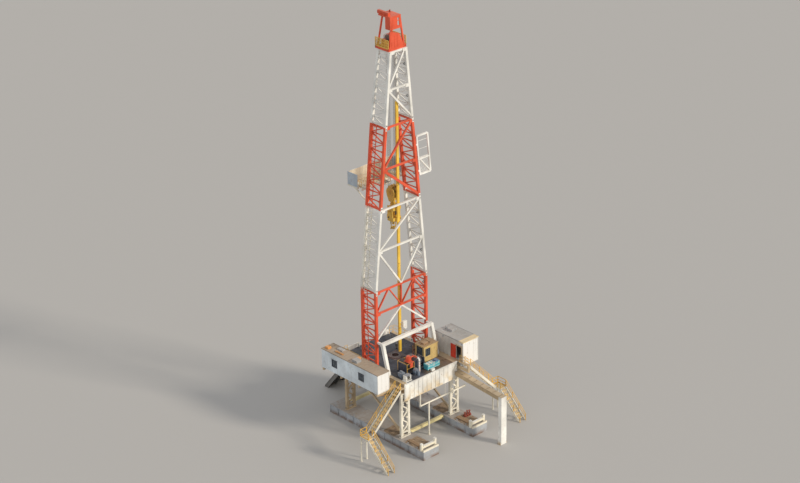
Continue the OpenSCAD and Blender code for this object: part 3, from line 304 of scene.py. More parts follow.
def chequer_plate():
    """Oil-dark deck plate: raised diamonds, worn paths, rusty seams and mud at the right rear"""
    s = Shader("dark_deck")
    coords = s.mapped(Rotation=(0.0, 0.0, math.radians(45)))
    diamonds = s.node("ShaderNodeTexVoronoi", {"Vector": coords, "Scale": 26.0, "Randomness": 0.0})
    seams = s.node("ShaderNodeTexBrick", {
        "Vector": s.coords, "Scale": 1.0, "Mortar Size": 0.012, "Mortar Smooth": 0.2, "Brick Width": 1.2,
        "Row Height": 0.75,
    }).outputs["Fac"]
    wear = s.noise(1.3, 5.0)
    oil = s.noise(3.4, 6.0, 0.6, offset=4.0)
    tone = s.mix(s.ramp(wear, 0.42, 0.66), (0.045, 0.048, 0.058), (0.1155, 0.1212, 0.1402))
    tone = s.mix(s.ramp(oil, 0.55, 0.62, 0.0, 0.8), tone, (0.012, 0.012, 0.014))
    across = s.maths("SUBTRACT", s.times(s.place("X"), 0.83), s.times(s.place("Y"), 0.56))
    patchy = s.ramp(s.noise(2.1, 5.0, offset=8.0), 0.25, 0.6, 0.35, 0.9)
    muddy = s.times(s.times(s.ramp(across, 1.10, 1.45), patchy), s.ramp(s.place("Y"), -0.3, -0.9))
    tone = s.mix(muddy, tone, (0.21, 0.135, 0.08))
    tone = s.mix(s.times(seams, 0.8), tone, (0.09, 0.05, 0.03))
    s.set(Base_Color=tone, Roughness=s.ramp(oil, 0.5, 0.64, 0.62, 0.25), Metallic=0.0)
    raised = s.ramp(diamonds.outputs["Distance"], 0.0, 0.5, 1.0, 0.0)
    s.bump(s.maths("SUBTRACT", raised, seams), 0.004, 0.6)


def worn_steel():
    s = Shader("worn_steel")
    scratches = s.noise(1.0, 3.0, coords=s.mapped(Scale=(60.0, 60.0, 4.0)))
    blotch = s.noise(4.0, 5.0, offset=2.0)
    tone = s.mix(s.ramp(scratches, 0.35, 0.7), (0.266, 0.259, 0.245), (0.38, 0.37, 0.35))
    tone = s.mix(s.ramp(blotch, 0.54, 0.68, 0.0, 0.3), tone, (0.17, 0.08, 0.04))
    s.set(Base_Color=tone, Roughness=s.ramp(scratches, 0.3, 0.7, 0.32, 0.57), Metallic=0.85)
    s.bump(scratches, 0.002, 0.5)


def wire_rope():
    """Greased rope: slanting strands"""
    s = Shader("wire_rope")
    inputs = {"Vector": s.mapped(Scale=(30.0, 30.0, 22.0)), "Scale": 1.6, "Distortion": 0.6}
    wave = s.node("ShaderNodeTexWave", inputs, bands_direction="DIAGONAL").outputs["Fac"]
    s.set(Base_Color=s.mix(wave, (0.05, 0.045, 0.04), (0.26, 0.24, 0.21)), Roughness=0.45, Metallic=0.6)
    s.bump(wave, 0.003, 0.8)


def old_timber():
    """Weathered planks: long grain, grey-brown, with oil stains"""
    s = Shader("old_timber")
    grain = s.noise(1.0, 6.0, 0.65, coords=s.mapped(Scale=(3.0, 40.0, 40.0)))
    stain = s.noise(2.5, 4.0, offset=5.0)
    tone = s.mix(s.ramp(grain, 0.35, 0.7), (0.20, 0.13, 0.08), (0.46, 0.34, 0.22))
    tone = s.mix(s.ramp(stain, 0.55, 0.7, 0.0, 0.7), tone, (0.07, 0.05, 0.04))
    s.set(Base_Color=tone, Roughness=0.85)
    s.bump(grain, 0.004, 0.7)


def window_glass():
    s = Shader("window_glass")
    smear = s.noise(7.0, 4.0)
    s.set(Base_Color=s.mix(s.ramp(smear, 0.4, 0.8), (0.035, 0.05, 0.065), (0.14, 0.16, 0.17)),
          Roughness=s.ramp(smear, 0.3, 0.8, 0.06, 0.3), Specular_IOR_Level=0.6)
    s.bump(smear, 0.001, 0.2)


# Colour, dust, rust, rain streaks and, where it isn't the usual one, roughness
PAINTS = {
    "mast_red": ((0.80, 0.10, 0.035), 0.18, 0.35, 0.16, 0.42),
    "mast_white": ((0.88, 0.86, 0.80), 0.15, 0.5, 0.18, 0.45),
    "cream_white": ((0.86, 0.81, 0.68), 0.25, 0.5, 0.3),
    "base_grey": ((0.46, 0.48, 0.50), 0.75, 0.6, 0.45),
    "tan_steel": ((0.58, 0.44, 0.27), 0.4, 0.6, 0.4),
    "safety_yellow": ((0.87, 0.51, 0.09), 0.2, 0.3, 0.2),
    "track_yellow": ((0.93, 0.57, 0.06), 0.1, 0.2, 0.15, 0.38),
    "ochre_yellow": ((0.74, 0.46, 0.07), 0.2, 0.5, 0.4),
    "dark_machine": ((0.045, 0.055, 0.085), 0.25, 0.4, 0.3, 0.4),
    "dark_red": ((0.30, 0.05, 0.03), 0.2, 0.6, 0.3),
    "turquoise": ((0.10, 0.50, 0.58), 0.3, 0.4, 0.35),
    # Painted shade: the doghouse's walls are white paint, and this blue-grey is that white in shade; the rear
    # end, lit by the key light, gets the white (rear_painted at -2944)
    "house_blue_grey": ((0.72, 0.78, 0.81), 0.3, 0.3, 0.25),
    "roof_tan": ((0.36, 0.28, 0.21), 0.55, 0.5, 0.2),
    "roof_grey": ((0.42, 0.42, 0.415), 0.3, 0.4, 0.2),
    "cabin_grey": ((0.66, 0.64, 0.60), 0.3, 0.3, 0.3),
    "door_red": ((0.72, 0.05, 0.025), 0.15, 0.3, 0.2, 0.38),
    "rear_white": ((0.90, 0.88, 0.82), 0.2, 0.55, 0.25),
    "rusty_pipe": ((0.42, 0.26, 0.14), 0.35, 0.9, 0.6, 0.7),
    # Painted shade: this blue-grey stands for the wind wall in shade, and its faces that look back at the
    # mast get a painted sunlit cream
    "wind_wall": ((0.52, 0.60, 0.68), 0.1, 0.3, 0.2),
    "duct_paint": ((0.80, 0.12, 0.04), 0.15, 0.3, 0.2),
    "house_navy": ((0.10, 0.20, 0.38), 0.2, 0.3, 0.2),
    "cabin_tan": ((0.70, 0.51, 0.20), 0.85, 0.5, 0.5),
    "orange_gear": ((0.85, 0.38, 0.10), 0.3, 0.3, 0.3),
    "greasy_red": ((0.085, 0.045, 0.042), 0.1, 0.5, 0.2, 0.35),
    "ladder_paint": ((0.86, 0.81, 0.68), 0.2, 0.4, 0.2),
    "pale_yellow": ((0.92, 0.78, 0.40), 0.2, 0.3, 0.25),
    "tread_gold": ((0.80, 0.60, 0.30), 0.25, 0.3, 0.0),
    "steel_blue": ((0.20, 0.25, 0.32), 0.35, 0.3, 0.3),
}
for name, look in PAINTS.items():
    paint(name, *look)
for make in (chequer_plate, worn_steel, wire_rope, old_timber, window_glass):
    make()

# The record's slot for the finishes that only scene.py has
NODE_FINISHES = {
    "rear_panel": "rear_white", "racking_wall": "wind_wall", "gooseneck_pipe": "duct_paint",
    "driller_cabin": "cabin_tan", "rotary_table": "greasy_red", "mast_ladder": "ladder_paint",
    "base_spreaders": "pale_yellow",
}


def dress_frame():
    """Every CAD node gets the material of its slot in the record, or the finish named above"""
    for part in frame["record"]["subparts"]:
        node = frame["nodes"][part["node"]]
        slot = NODE_FINISHES.get(part["node"], part["material_slot"])
        node.data.materials.clear()
        node.data.materials.append(MATERIALS[slot])


# Mesh helpers

X, Y, Z = 0, 1, 2
ONE, BOTH = (1,), (-1, 1)
PIECES = []


class Piece:
    """Collects bars, plates, tubes and bolts in millimetres from its origin, then becomes one object

    sides are the signs that x is built with, so BOTH also builds the mirror image.
    """

    def __init__(self, name, slot, bevel=0.0, origin=(0, 0, 0), sides=ONE, body="root"):
        self.name, self.slot, self.bevel = name, slot, bevel
        self.origin, self.sides, self.body = origin, sides, body
        self.mesh = bmesh.new()
        PIECES.append(self)

    def faces(self, corners, faces):
        ox, oy, oz = self.origin
        for side in self.sides:
            made = [self.mesh.verts.new(at(side * x + ox, y + oy, z + oz)) for x, y, z in corners]
            for face in faces:
                self.mesh.faces.new([made[i] for i in face])

    def box(self, a, b):
        (x0, x1), (y0, y1), (z0, z1) = (sorted(pair) for pair in zip(a, b))
        self.faces([(x0, y0, z0), (x1, y0, z0), (x1, y1, z0), (x0, y1, z0),
                    (x0, y0, z1), (x1, y0, z1), (x1, y1, z1), (x0, y1, z1)],
                   [(3, 2, 1, 0), (4, 5, 6, 7), (0, 1, 5, 4), (1, 2, 6, 5), (2, 3, 7, 6), (3, 0, 4, 7)])

    def slats(self, axis, places, reach, low, high):
        """A row of boxes that reach either way from places on one axis, and from low to high on the others"""
        for place in places:
            a, b = list(low), list(high)
            a.insert(axis, place - reach)
            b.insert(axis, place + reach)
            self.box(a, b)

    def bar(self, p, q, width, depth, side=UP):
        """A flat or square bar from p to q; side is the way its depth faces"""
        p, q = Vector(p), Vector(q)
        along = (q - p).normalized()
        depth_way = Vector(side)
        depth_way = depth_way - along * depth_way.dot(along)
        if depth_way.length < 1e-3:
            depth_way = Vector(RIGHT) - along * along.x
        depth_way.normalize()
        w = along.cross(depth_way) * width / 2
        d = depth_way * depth / 2
        ring = [w + d, d - w, -w - d, w - d]
        flanks = [(i, i + 4, (i + 1) % 4 + 4, (i + 1) % 4) for i in range(4)]
        self.faces([p + r for r in ring] + [q + r for r in ring], [(0, 1, 2, 3), (7, 6, 5, 4)] + flanks)

    def tube(self, points, radius, sides=8, closed=False):
        """A round bar through the points, with mitred bends"""
        points = [Vector(p) for p in points]
        ends = points[1:] + points[:1] if closed else points[1:]
        ways = [(end - start).normalized() for start, end in zip(points, ends)]
        first = ways[-1] if closed else ways[0]
        count = len(points)
        rings = []
        normal = None
        for p, into, out in zip(points, [first] + ways, ways + ways[-1:]):
            along = (into + out).normalized()
            if normal is None:
                normal = Vector(UP) if abs(along.z) < 0.9 else Vector(RIGHT)
            normal = (normal - along * normal.dot(along)).normalized()
            cross = along.cross(normal)
            stretch = 1 / max(0.5, along.dot(into))
            rings.append([p + (normal * math.cos(a) + cross * math.sin(a)) * radius * stretch
                          for a in row(0, 2 * math.pi / sides, sides)])
        faces = []
        for i in range(len(ways)):
            j = (i + 1) % count
            for k in range(sides):
                m = (k + 1) % sides
                faces.append((i * sides + k, i * sides + m, j * sides + m, j * sides + k))
        if not closed:
            faces.append(tuple(reversed(range(sides))))
            faces.append(tuple((count - 1) * sides + k for k in range(sides)))
        self.faces([c for ring in rings for c in ring], faces)

    def disc(self, centre, axis, radius, length, sides=12):
        """A cylinder that stands on centre along axis"""
        centre, axis = Vector(centre), Vector(axis).normalized()
        self.tube([centre, centre + axis * length], radius, sides)

    def plate(self, outline, way, thickness):
        """A flat plate: outline is a list of points, way its direction of thickness"""
        shift = Vector(way).normalized() * thickness
        count = len(outline)
        low = [Vector(p) for p in outline]
        self.faces(low + [p + shift for p in low],
                   [tuple(reversed(range(count))), tuple(range(count, 2 * count))]
                   + [(i, (i + 1) % count, (i + 1) % count + count, i + count) for i in range(count)])

    def bolts(self, places, way, radius=14, height=12):
        for place in places:
            self.disc(place, way, radius, height, 6)

    def done(self):
        PIECES.remove(self)
        mesh = bpy.data.meshes.new(self.name)
        bmesh.ops.recalc_face_normals(self.mesh, faces=self.mesh.faces)
        self.mesh.to_mesh(mesh)
        self.mesh.free()
        mesh.materials.append(MATERIALS[self.slot])
        piece = add(self.name, mesh)
        if self.bevel:
            round_off = piece.modifiers.new("edges", "BEVEL")
            round_off.width = self.bevel * MM
            round_off.segments = 1
            round_off.limit_method = "ANGLE"
        if self.body:
            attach(piece, self.body)
        return piece


def drill_lines():
    """The falls between crown and block, in place of the CAD node's lines"""
    top, foot, steps = CROWN_AXLE_Z, BLOCK_AXLE_Z, 36
    lines = Piece("drill_line_falls", "wire_rope", body=None)
    for x, y in product(row(-135, 90, 4), (-320.3, 320.3)):
        lines.tube([(x, y, z) for z in row(top, (foot - top) / steps, steps + 1)], 10)
    piece = lines.done()
    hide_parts("drill_lines")
    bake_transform(piece)


# Mast

FOOT_HALF, TOP_HALF = 2330, 690
BACK_Y, FRONT_Y, TOP_FRONT_Y = -670, 670, 390
CHORD = 180
# Paint, foot, top and the height of the girt between them
SECTIONS = (
    ("mast_red", FLOOR_Z, MAST_Z1, 8950), ("mast_white", MAST_Z1, MAST_Z2, 13500),
    ("mast_red", MAST_Z2, MAST_Z3, 19320), ("mast_white", MAST_Z3, MAST_Z4, 24830),
)


def half(z):
    """Distance from the well centre to the mast's side at height z"""
    return FOOT_HALF - (FOOT_HALF - TOP_HALF) * max(0, z - MAST_Z1) / (MAST_Z4 - MAST_Z1)


def front(z):
    return FRONT_Y + (TOP_FRONT_Y - FRONT_Y) * max(0, z - MAST_Z3) / (MAST_Z4 - MAST_Z3)


def mast_gussets():
    """Bolted gussets where the lattice and the girts meet the chords"""
    face = BACK_Y - CHORD / 2 - 0.2
    for index, (slot, z0, z1, girt_z) in enumerate(SECTIONS, 1):
        gussets = Piece(f"mast_gussets_{index}", slot, 3, sides=BOTH)
        bay = (z1 - z0) / 10
        for z in row(z0 + bay, bay, 9):
            for y, inward in ((BACK_Y, 1), (front(z), -1)):
                edge = y + inward * (CHORD / 2 - 20)
                outline = [(half(z + h) + 36, edge + inward * d, z + h)
                           for h, d in ((-95, 0), (-60, 150), (60, 150), (95, 0))]
                gussets.plate(outline, RIGHT, 12)
                gussets.bolts([(half(z + h) + 48, edge + inward * 105, z + h) for h in (-40, 40)], RIGHT)
        for z in (girt_z, z1 - 60):
            x = half(z)
            gussets.box((x - 330, face, z - 150), (x + 60, face - 14, z + 55))
            gussets.bolts(product((x - 30, x - 290), (face - 14,), (z - 110, z + 15)), REAR)


def mast_joints():
    """Double lugs and pins where the mast's sections are pinned together, and the feet on the floor"""
    lugs = Piece("mast_joint_lugs", "mast_white", 3, sides=BOTH)
    pins = Piece("mast_joint_pins", "worn_steel", 2, sides=BOTH)
    face = CHORD / 2
    for y, z in product((BACK_Y, FRONT_Y), (MAST_Z1, MAST_Z2, MAST_Z3)):
        for side in (-1, 1):
            outline = [(half(z + h) + w, y + side * face, z + h)
                       for h, w in ((-230, -70), (-230, 70), (230, 70), (230, -70))]
            lugs.plate(outline, (0, side, 0), 22)
            for pin_z in (z - 120, z + 120):
                pins.disc((half(pin_z), y + side * (face + 22), pin_z), (0, side, 0), 48, 10, 14)
        for pin_z in (z - 120, z + 120):
            pins.disc((half(pin_z), y - face - 40, pin_z), FRONT, 34, CHORD + 80, 14)
    for y in (BACK_Y, FRONT_Y):
        lugs.origin = pins.origin = (0, y, FLOOR_Z)
        lugs.box((FOOT_HALF - 170, -170, 0), (FOOT_HALF + 170, 170, 30))
        for side in (-1, 1):
            x = FOOT_HALF + side * 91
            lugs.plate([(x, -130, 30), (x, 130, 30), (x, 60, 300), (x, -60, 300)], (side, 0, 0), 20)
        pins.disc((FOOT_HALF - 140, 0, 190), RIGHT, 38, 280, 14)
        pins.bolts(product((FOOT_HALF - 140, FOOT_HALF + 140), (-140, 140), (30,)), UP, 18, 16)


def ladder_cage():
    """Hoops and straps round the ladder on the left side"""
    cage = Piece("ladder_cage", "ladder_paint")
    y, depth, wide = 280, 330, 225
    angles = [math.radians(a) for a in range(0, 181, 20)]

    def ring_point(z, angle):
        return (-half(z) - 131 - depth * math.sin(angle), y + wide * math.cos(angle), z)

    levels = row(FLOOR_Z + 1250, 600, 28)
    for z in levels:
        cage.tube([ring_point(z, a) for a in angles], 9, 5)
    for a in angles[1:-1:2]:
        for low, high in ((levels[0], MAST_Z1), (MAST_Z1, levels[-1])):
            cage.tube([ring_point(low, a), ring_point(high, a)], 7, 5)


def mast_lamps():
    """Caged lamps on the rear chords, joined by one conduit a side"""
    conduit = Piece("mast_conduits", "worn_steel", sides=BOTH)
    lamps = Piece("mast_lamps", "base_grey", 3, sides=BOTH)
    lenses = Piece("mast_lamp_lenses", "window_glass", sides=BOTH)
    y = BACK_Y + CHORD / 2 + 14
    tilt = (-1, 0, -0.4)
    conduit.tube([(half(z) - 60, y, z) for z in (FLOOR_Z + 320, MAST_Z1, 20000, MAST_Z4 - 120)], 13)
    for z in (7600, 9900, 12400, 15300, 18300, 21100, 24000, 26300):
        x = half(z) - CHORD / 2 - 8
        lamps.box((x, y - 30, z - 60), (x - 30, y + 50, z + 60))
        lamps.disc((x - 30, y + 10, z), tilt, 52, 60)
        lenses.disc((x - 90, y + 10, z - 24), tilt, 40, 34)
        conduit.box((half(z) - 135, y - 20, z - 130), (half(z) - 45, y + 30, z - 80))


def track_fittings():
    """Clamps, splice plates and a service box on the torque track, clear of the top drive's shoes"""
    track = Piece("track_clamps", "track_yellow", 2, sides=BOTH)
    bolts = Piece("track_bolts", "worn_steel", sides=BOTH)
    for z in (8950, 10540, 13500, 16440, 19320, 22240):
        track.box((160, -606, z - 36), (178, -554, z + 36))
        bolts.bolts([(178, -580, z - 20), (178, -580, z + 20)], RIGHT, 12, 12)
    for z in (7000, 11900, 14900, 17900, 20800):
        track.box((24, -566, z - 150), (90, -550, z + 150))
        bolts.bolts(product((40, 74), (-566,), (z - 100, z + 100)), REAR, 12, 10)
    box = Piece("track_service_box", "mast_white", 6, (118, -740, 7130))
    box.box((0, 0, 0), (352, 184, 430))
    box.plate([(0, 0, 0), (352, 0, 0), (352, 0, -170), (182, 0, -170)], FRONT, 184)
    for z in (50, 350):
        box.box((-108, 168, z), (12, 188, z + 40))
    for z in (100, 330):
        box.disc((182, 0, z), REAR, 26, 12, 10)


# Crown, hoist and racking board


def crown_details():
    """Gratings, gussets, bolts, sheave guards, rail mesh and a beacon"""
    platform = (0, 0, CROWN_Z)
    axle, cap = CROWN_AXLE_Z - CROWN_Z, CAP_Z - CROWN_Z
    grating = Piece("crown_gratings", "worn_steel", 0, platform, BOTH)
    grating.slats(X, row(640, 24, 6), 3, (-510, 0), (480, 16))
    grating.slats(Y, row(-490, 105, 10), 4, (634, 0), (764, 12))
    trim = Piece("crown_trim", "mast_red", 3, platform, BOTH)
    for side in (-1, 1):
        y = side * 300
        trim.plate([(530, y, 0), (720, y, 0), (530, y * 0.62, 400)], (0, side, 0), 16)
    trim.disc((530, 0, axle), RIGHT, 120, 30, 20)
    for y in (-640, 600):
        trim.box((560, y, -150), (800, y + 40, 60))
    trim.sides = ONE
    for z in (1460, 1810):
        trim.bar((-600, -631, z), (350, -631, z), 50, 22, FRONT)
    trim.slats(X, (-470, -200, 60), 40, (-620, 20), (-634, 820))
    trim.bolts(product(row(-560, 125, 8), (-560, 420), (cap,)), UP, 15, 12)
    trim.origin, trim.sides = (-470, 0, CAP_Z), BOTH
    for y in (-128, 252, 582):
        trim.plate([(90, y, 30), (130, y, 5), (90, y, 190)], FRONT, 16)
    bolts = Piece("crown_bolts", "worn_steel", 0, platform, BOTH)
    bolts.bolts(circle((560, 0, axle), 85, 8), RIGHT, 13, 12)
    bolts.disc((560, 0, axle), RIGHT, 45, 24, 16)
    bolts.bolts([(700, -590, 0), (700, 560, 0)], UP, 16, 14)
    guards = Piece("sheave_guards", "mast_red", 0, platform, BOTH)
    for x in (100, 285):
        arc = circle((x, 0, axle), 395, 24)
        guards.tube([(x, 520, 0), (x, 520, 120), *arc[:13], (x, -395, 0)], 11, 6)
    guards.sides = ONE
    for place in circle((-300, 0, axle), 395, 24)[2:11:4]:
        guards.disc(place, RIGHT, 11, 600, 6)
    infill = Piece("crown_rail_mesh", "safety_yellow", 0, platform, BOTH)
    infill.slats(Y, row(-600, 41, 30), 7, (780, 60), (786, 600))
    infill.slats(Z, row(110, 55, 9), 5, (780, -620), (787, 620))
    lamp = Piece("crown_beacon", "dark_red", 3, (150, 200, CAP_Z))
    lamp.disc((0, 0, 0), UP, 70, 25, 16)
    lamp.tube([(0, 0, 25), (0, 0, 110), (0, 0, 150)], 50, 16)


def block_details():
    """Axle caps, bolts, ribs, eyes and cross rods of the travelling block"""
    block = Piece("block_fittings", "ochre_yellow", 3, (0, 0, BLOCK_Z), BOTH, "hoist")
    steel = Piece("block_bolts", "worn_steel", 0, (0, 0, BLOCK_Z), BOTH, "hoist")
    axle = BLOCK_AXLE_Z - BLOCK_Z
    block.disc((260, 0, axle), RIGHT, 130, 24, 24)
    steel.bolts(circle((284, 0, axle), 100, 8), RIGHT, 13, 12)
    cheek = ((-95, 190), (95, 190), (-130, 300), (130, 300), (-150, 1180), (0, 1200), (150, 1180))
    steel.bolts([(260, y, z) for y, z in cheek], RIGHT, 20, 16)
    for y in (-1, 1):
        block.bar((262, y * 205, 330), (262, y * 330, 620), 34, 18, RIGHT)
    block.tube([(90, -60, 1250), (90, -60, 1330), (90, 60, 1330), (90, 60, 1250)], 14)
    block.sides = ONE
    for y, z in product((-300, 300), (axle - 250, axle + 250)):
        block.disc((-222, y, z), RIGHT, 16, 444, 10)


def drive_details():
    """Motor ribs and elbows, boxes, hoses, link cylinders, collars and bolts of the top drive"""
    carriage = (0, 0, HOIST_Z)
    drive = Piece("drive_fittings", "ochre_yellow", 3, carriage, BOTH, "hoist")
    dark = Piece("drive_hoses_and_pads", "dark_machine", 0, carriage, BOTH, "hoist")
    steel = Piece("drive_bolts", "worn_steel", 0, carriage, BOTH, "hoist")
    for z in row(1070, 44, 9):
        drive.disc((170, 60, z), UP, 140, 8, 28)
    drive.tube([(170, 60, 1550), (170, 60, 1600), (170, -60, 1640), (170, -140, 1600)], 46, 12)
    drive.box((362, -200, 1000), (400, 60, 1350))
    drive.box((362, -150, 1420), (385, 20, 1620))
    steel.bolts(product((400,), (-180, 40), (1020, 1330)), RIGHT, 10, 8)
    steel.bolts(product((360,), (-260, -120, 100), (720, 880, 1690)), RIGHT, 16, 14)
    steel.tube([(200, 70, 560), (275, 150, 820)], 22, 10)
    steel.disc((200, 70, 350), UP, 14, 250, 10)
    for k in range(3):
        dark.tube([(372, 70 - 26 * k, 1000), (392, 80 - 26 * k, 900), (340, 150 - 20 * k, 800),
                   (290, 215 - 10 * k, 860), (250 - 30 * k, 262, 930)], 9)
    drive.sides = dark.sides = steel.sides = ONE
    steel.bolts(circle((0, 0, 608), 205, 12, UP), DOWN, 15, 14)
    drive.box((-250, 258, 860), (250, 282, 1010))
    drive.disc((0, 282, 935), FRONT, 60, 16, 20)
    steel.bolts(product((-220, -110, 110, 220), (282,), (880, 990)), FRONT, 12, 10)
    drive.disc((0, 0, 330), UP, 90, 70, 20)
    drive.disc((0, 0, 470), UP, 84, 50, 20)
    dark.box((-60, -228, 1080), (60, -262, 1380))


def board_details():
    """Latches on the fingers, gratings, rails, and ribs on the wind walls"""
    deck = (0, 0, BOARD_TOP)
    front_y, rib_top = 2250, 880
    latches = Piece("finger_latches", "safety_yellow", 2, deck, BOTH)
    for x, y in product(row(290, 180, 7), row(1090, 170, 7)):
        latches.box((x - 14, y + 22, 0), (x + 14, y + 88, 16))
        latches.box((x - 18, y - 14, 0), (x + 18, y + 26, 34))
    grating = Piece("board_gratings", "worn_steel", 0, deck)
    grating.slats(X, row(-200, 50, 9), 4, (485, 0), (front_y - 130, 14))
    grating.slats(Y, row(500, 115, 15), 4, (-228, 0), (228, 10))
    grating.sides = BOTH
    grating.slats(Y, row(880, 180, 8), 5, (half(BOARD_Z) + 60, 0), (1990, 12))
    rails = Piece("board_rails", "safety_yellow", 0, deck, BOTH)
    for y in (870, 1060):
        rails.disc((2010, y, 0), UP, 14, 480, 8)
    for z in (240, 480):
        rails.disc((2010, 870, z), FRONT, 12, 380, 8)
    rails.tube([(240, 500, 0), (240, 500, 420), (240, 1500, 420), (240, 1500, 0)], 12)
    ribs = Piece("wind_wall_ribs", "wind_wall", 2, deck, BOTH)
    for y in row(front_y - 950, 115, 9):
        ribs.box((2050, y - 14, 20), (2064, y + 14, rib_top))
        ribs.box((2020, y - 14, 20), (2008, y + 14, rib_top))
    for z in (8, rib_top):
        ribs.box((2046, front_y - 1000, z), (2072, front_y + 20, z + 24))
    ribs.sides = ONE
    for x in row(-1960, 140, 29):
        ribs.box((x - 14, front_y, 20), (x + 14, front_y + 14, rib_top))
        ribs.box((x - 14, front_y - 30, 20), (x + 14, front_y - 42, rib_top))
    for z in (8, rib_top):
        ribs.box((-2060, front_y - 2, z), (2060, front_y + 22, z + 24))


def stabbing_mesh():
    """Wire mesh and rails of the stabbing frame outside the right rear leg"""
    basket = Piece("stabbing_mesh", "mast_white")
    z0, z1 = 18050, 19200
    pitch = (z1 - z0) / 12
    for z in row(z0 + pitch, pitch, 11):
        basket.disc((half(z) + 250, -665, z), RIGHT, 7, 1000, 6)
    for x in row(350, 100, 9):
        basket.tube([(half(z0) + x, -672, z0), (half(z1) + x, -672, z1)], 7, 6)
    for z in (19300, 19900, 20500):
        basket.disc((half(z) + 250, -670, z), RIGHT, 14, 1000, 8)


# Machines on the drill floor


def drawworks_details():
    """Rope on both drums, motor flanges, covers, bolts and a yellow guard"""
    place = (-1500, -2800, FLOOR_Z)
    axle, winch_axle = (500, 460), (-440, 230)
    rope = Piece("drum_rope", "wire_rope", 0, place)
    for x in row(115, 20.5, 29):
        rope.tube(circle((x, *axle), 209, 24), 10, 6, closed=True)
    for x in row(-550, 14, 19):
        rope.tube(circle((x, *winch_axle), 126, 20), 7, 6, closed=True)
    body = Piece("drawworks_details", "dark_machine", 3, place)
    for x in row(1220, 38, 12):
        body.disc((x, *axle), RIGHT, 274, 9, 28)
    body.disc((1702, *axle), RIGHT, 200, 60, 24)
    body.box((1200, 240, 120), (1700, 760, 210))
    body.box((1250, 380, 700), (1620, 620, 800))
    body.box((710, 10, 900), (1290, 990, 925))
    body.box((780, 150, 925), (1080, 450, 960))
    for x, y in product((60, 1760), (192, 792)):
        body.plate([(x, y, 120), (x + 100, y, 120), (x, y, 320)], FRONT, 16)
    for y in (110, 890):
        body.disc((60, y, 700), RIGHT, 22, 640, 8)
    steel = Piece("drawworks_bolts", "worn_steel", 0, place)
    steel.bolts(product((730, 1000, 1270), (40, 350, 650, 960), (925,)), UP, 14, 12)
    steel.bolts(product((40, 640, 1300, 1720), (50, 950), (120,)), UP, 18, 18)
    steel.bolts(circle((1762, *axle), 165, 10), RIGHT, 12, 10)
    steel.bolts(circle((0, *axle), 120, 10), LEFT, 12, 10)
    guard = Piece("drawworks_guard", "safety_yellow", 0, place)
    left, right, foot, top = 30, 690, 120, 840
    for y in (30, 970):
        guard.tube([(left, y, foot), (left, y, top), (right, y, top), (right, y, foot)], 16)
        guard.disc((left, y, (foot + top) / 2), RIGHT, 12, right - left, 8)
    for x in (left, right):
        guard.disc((x, 30, top), FRONT, 16, 940, 8)


def duct_details():
    """Flanges and bands on the bent air duct, the blower on the drum guard, the fan at the duct's foot"""
    foot = (-550, -3010, FLOOR_Z)
    duct = Piece("duct_flanges", "worn_steel", 2, foot)
    for z in (20, 460, 880):
        duct.disc((0, 0, z), UP, 82, 22, 24)
    duct.bolts(circle((0, 0, 42), 71, 8, UP), UP, 9, 8)
    for y in (160, 530):
        duct.disc((0, y, 1090), FRONT, 82, 22, 24)
    duct.disc((0, 710, 901), UP, 86, 20, 24)
    bands = Piece("duct_bands", "mast_red", 0, foot)
    for z in (150, 300, 620, 760):
        bands.disc((0, 0, z), UP, 64, 24, 24)
    base_top = FLOOR_Z + 866
    blower = Piece("drum_blower", "mast_red", 4, (-1010, -2420, base_top))
    blower.box((-240, -350, -26), (240, 240, 0))
    blower.disc((0, 0, 0), UP, 185, 294, 24)
    blower.disc((0, 0, 294), UP, 130, 75, 24)
    for z in row(34, 58, 4):
        blower.disc((0, 0, z), UP, 205, 16, 24)
    blower.bolts(product((-215, 215), (-320, 215), (0,)), UP, 16, 14)
    blower.disc((150, -50, 224), RIGHT, 46, 260, 16)
    blower.box((-200, -392, -346), (60, -368, 0))
    axis_z = 230
    fan = Piece("duct_fan", "steel_blue", 3, (-860, -3120, FLOOR_Z + axis_z))
    fan.disc((0, 0, 0), FRONT, 205, 220, 28)
    fan.disc((0, -12, 0), FRONT, 90, 12, 20)
    fan.disc((0, 220, 0), FRONT, 222, 12, 28)
    fan.box((0, 10, 25 - axis_z), (240, 210, -80))
    fan.box((-140, 30, -axis_z), (140, 190, 40 - axis_z))
    fan.disc((0, -12, 0), REAR, 95, 198, 20)
    for y in row(-30, -24, 7):
        fan.disc((0, y, 0), REAR, 106, 8, 20)
    fan.box((-70, -200, -axis_z), (70, -40, -90))


def winch_power_unit():
    """The power unit with its pump, cap and two lines, beside the drawworks"""
    unit = Piece("winch_power_unit", "steel_blue", 4, (-2010, -2760, FLOOR_Z))
    unit.box((0, 0, 50), (370, 360, 330))
    for x in (20, 300):
        unit.box((x, 10, 0), (x + 50, 350, 50))
    unit.disc((180, 60, 390), FRONT, 70, 220, 20)
    unit.box((120, 100, 330), (240, 240, 350))
    for x, top in ((30, 400), (80, 380)):
        unit.tube([(x, 20, 330), (x, 20, top), (x, -220, top), (x, -390, top - 100)], 14)
    unit.disc((310, 310, 330), UP, 40, 46)


def locker_details():
    """Hinges, handle, seams and lid plates of the locker, a chest before it and goods on top"""
    place = (10, -3260, FLOOR_Z)
    lid_z = 425
    locker = Piece("locker_trim", "mast_white", 2, place)
    locker.slats(X, (100, 565, 1030), 25, (-23, 330), (0, 420))
    locker.tube([(450, -2, 250), (450, -32, 250), (680, -32, 250), (680, -2, 250)], 9)
    for z in (90, 300):
        locker.box((20, -8, z), (1110, 0, z + 22))
    locker.slats(X, (180, 440, 690), 80, (30, lid_z), (380, lid_z + 8))
    locker.box((180, -230, 0), (460, -70, 130))
    locker.box((170, -240, 130), (470, -60, 146))
    goods = Piece("locker_goods", "house_navy", 5, place)
    goods.box((800, 40, lid_z), (1070, 340, lid_z + 95))
    goods.disc((700, 100, lid_z + 25), FRONT, 26, 230, 10)


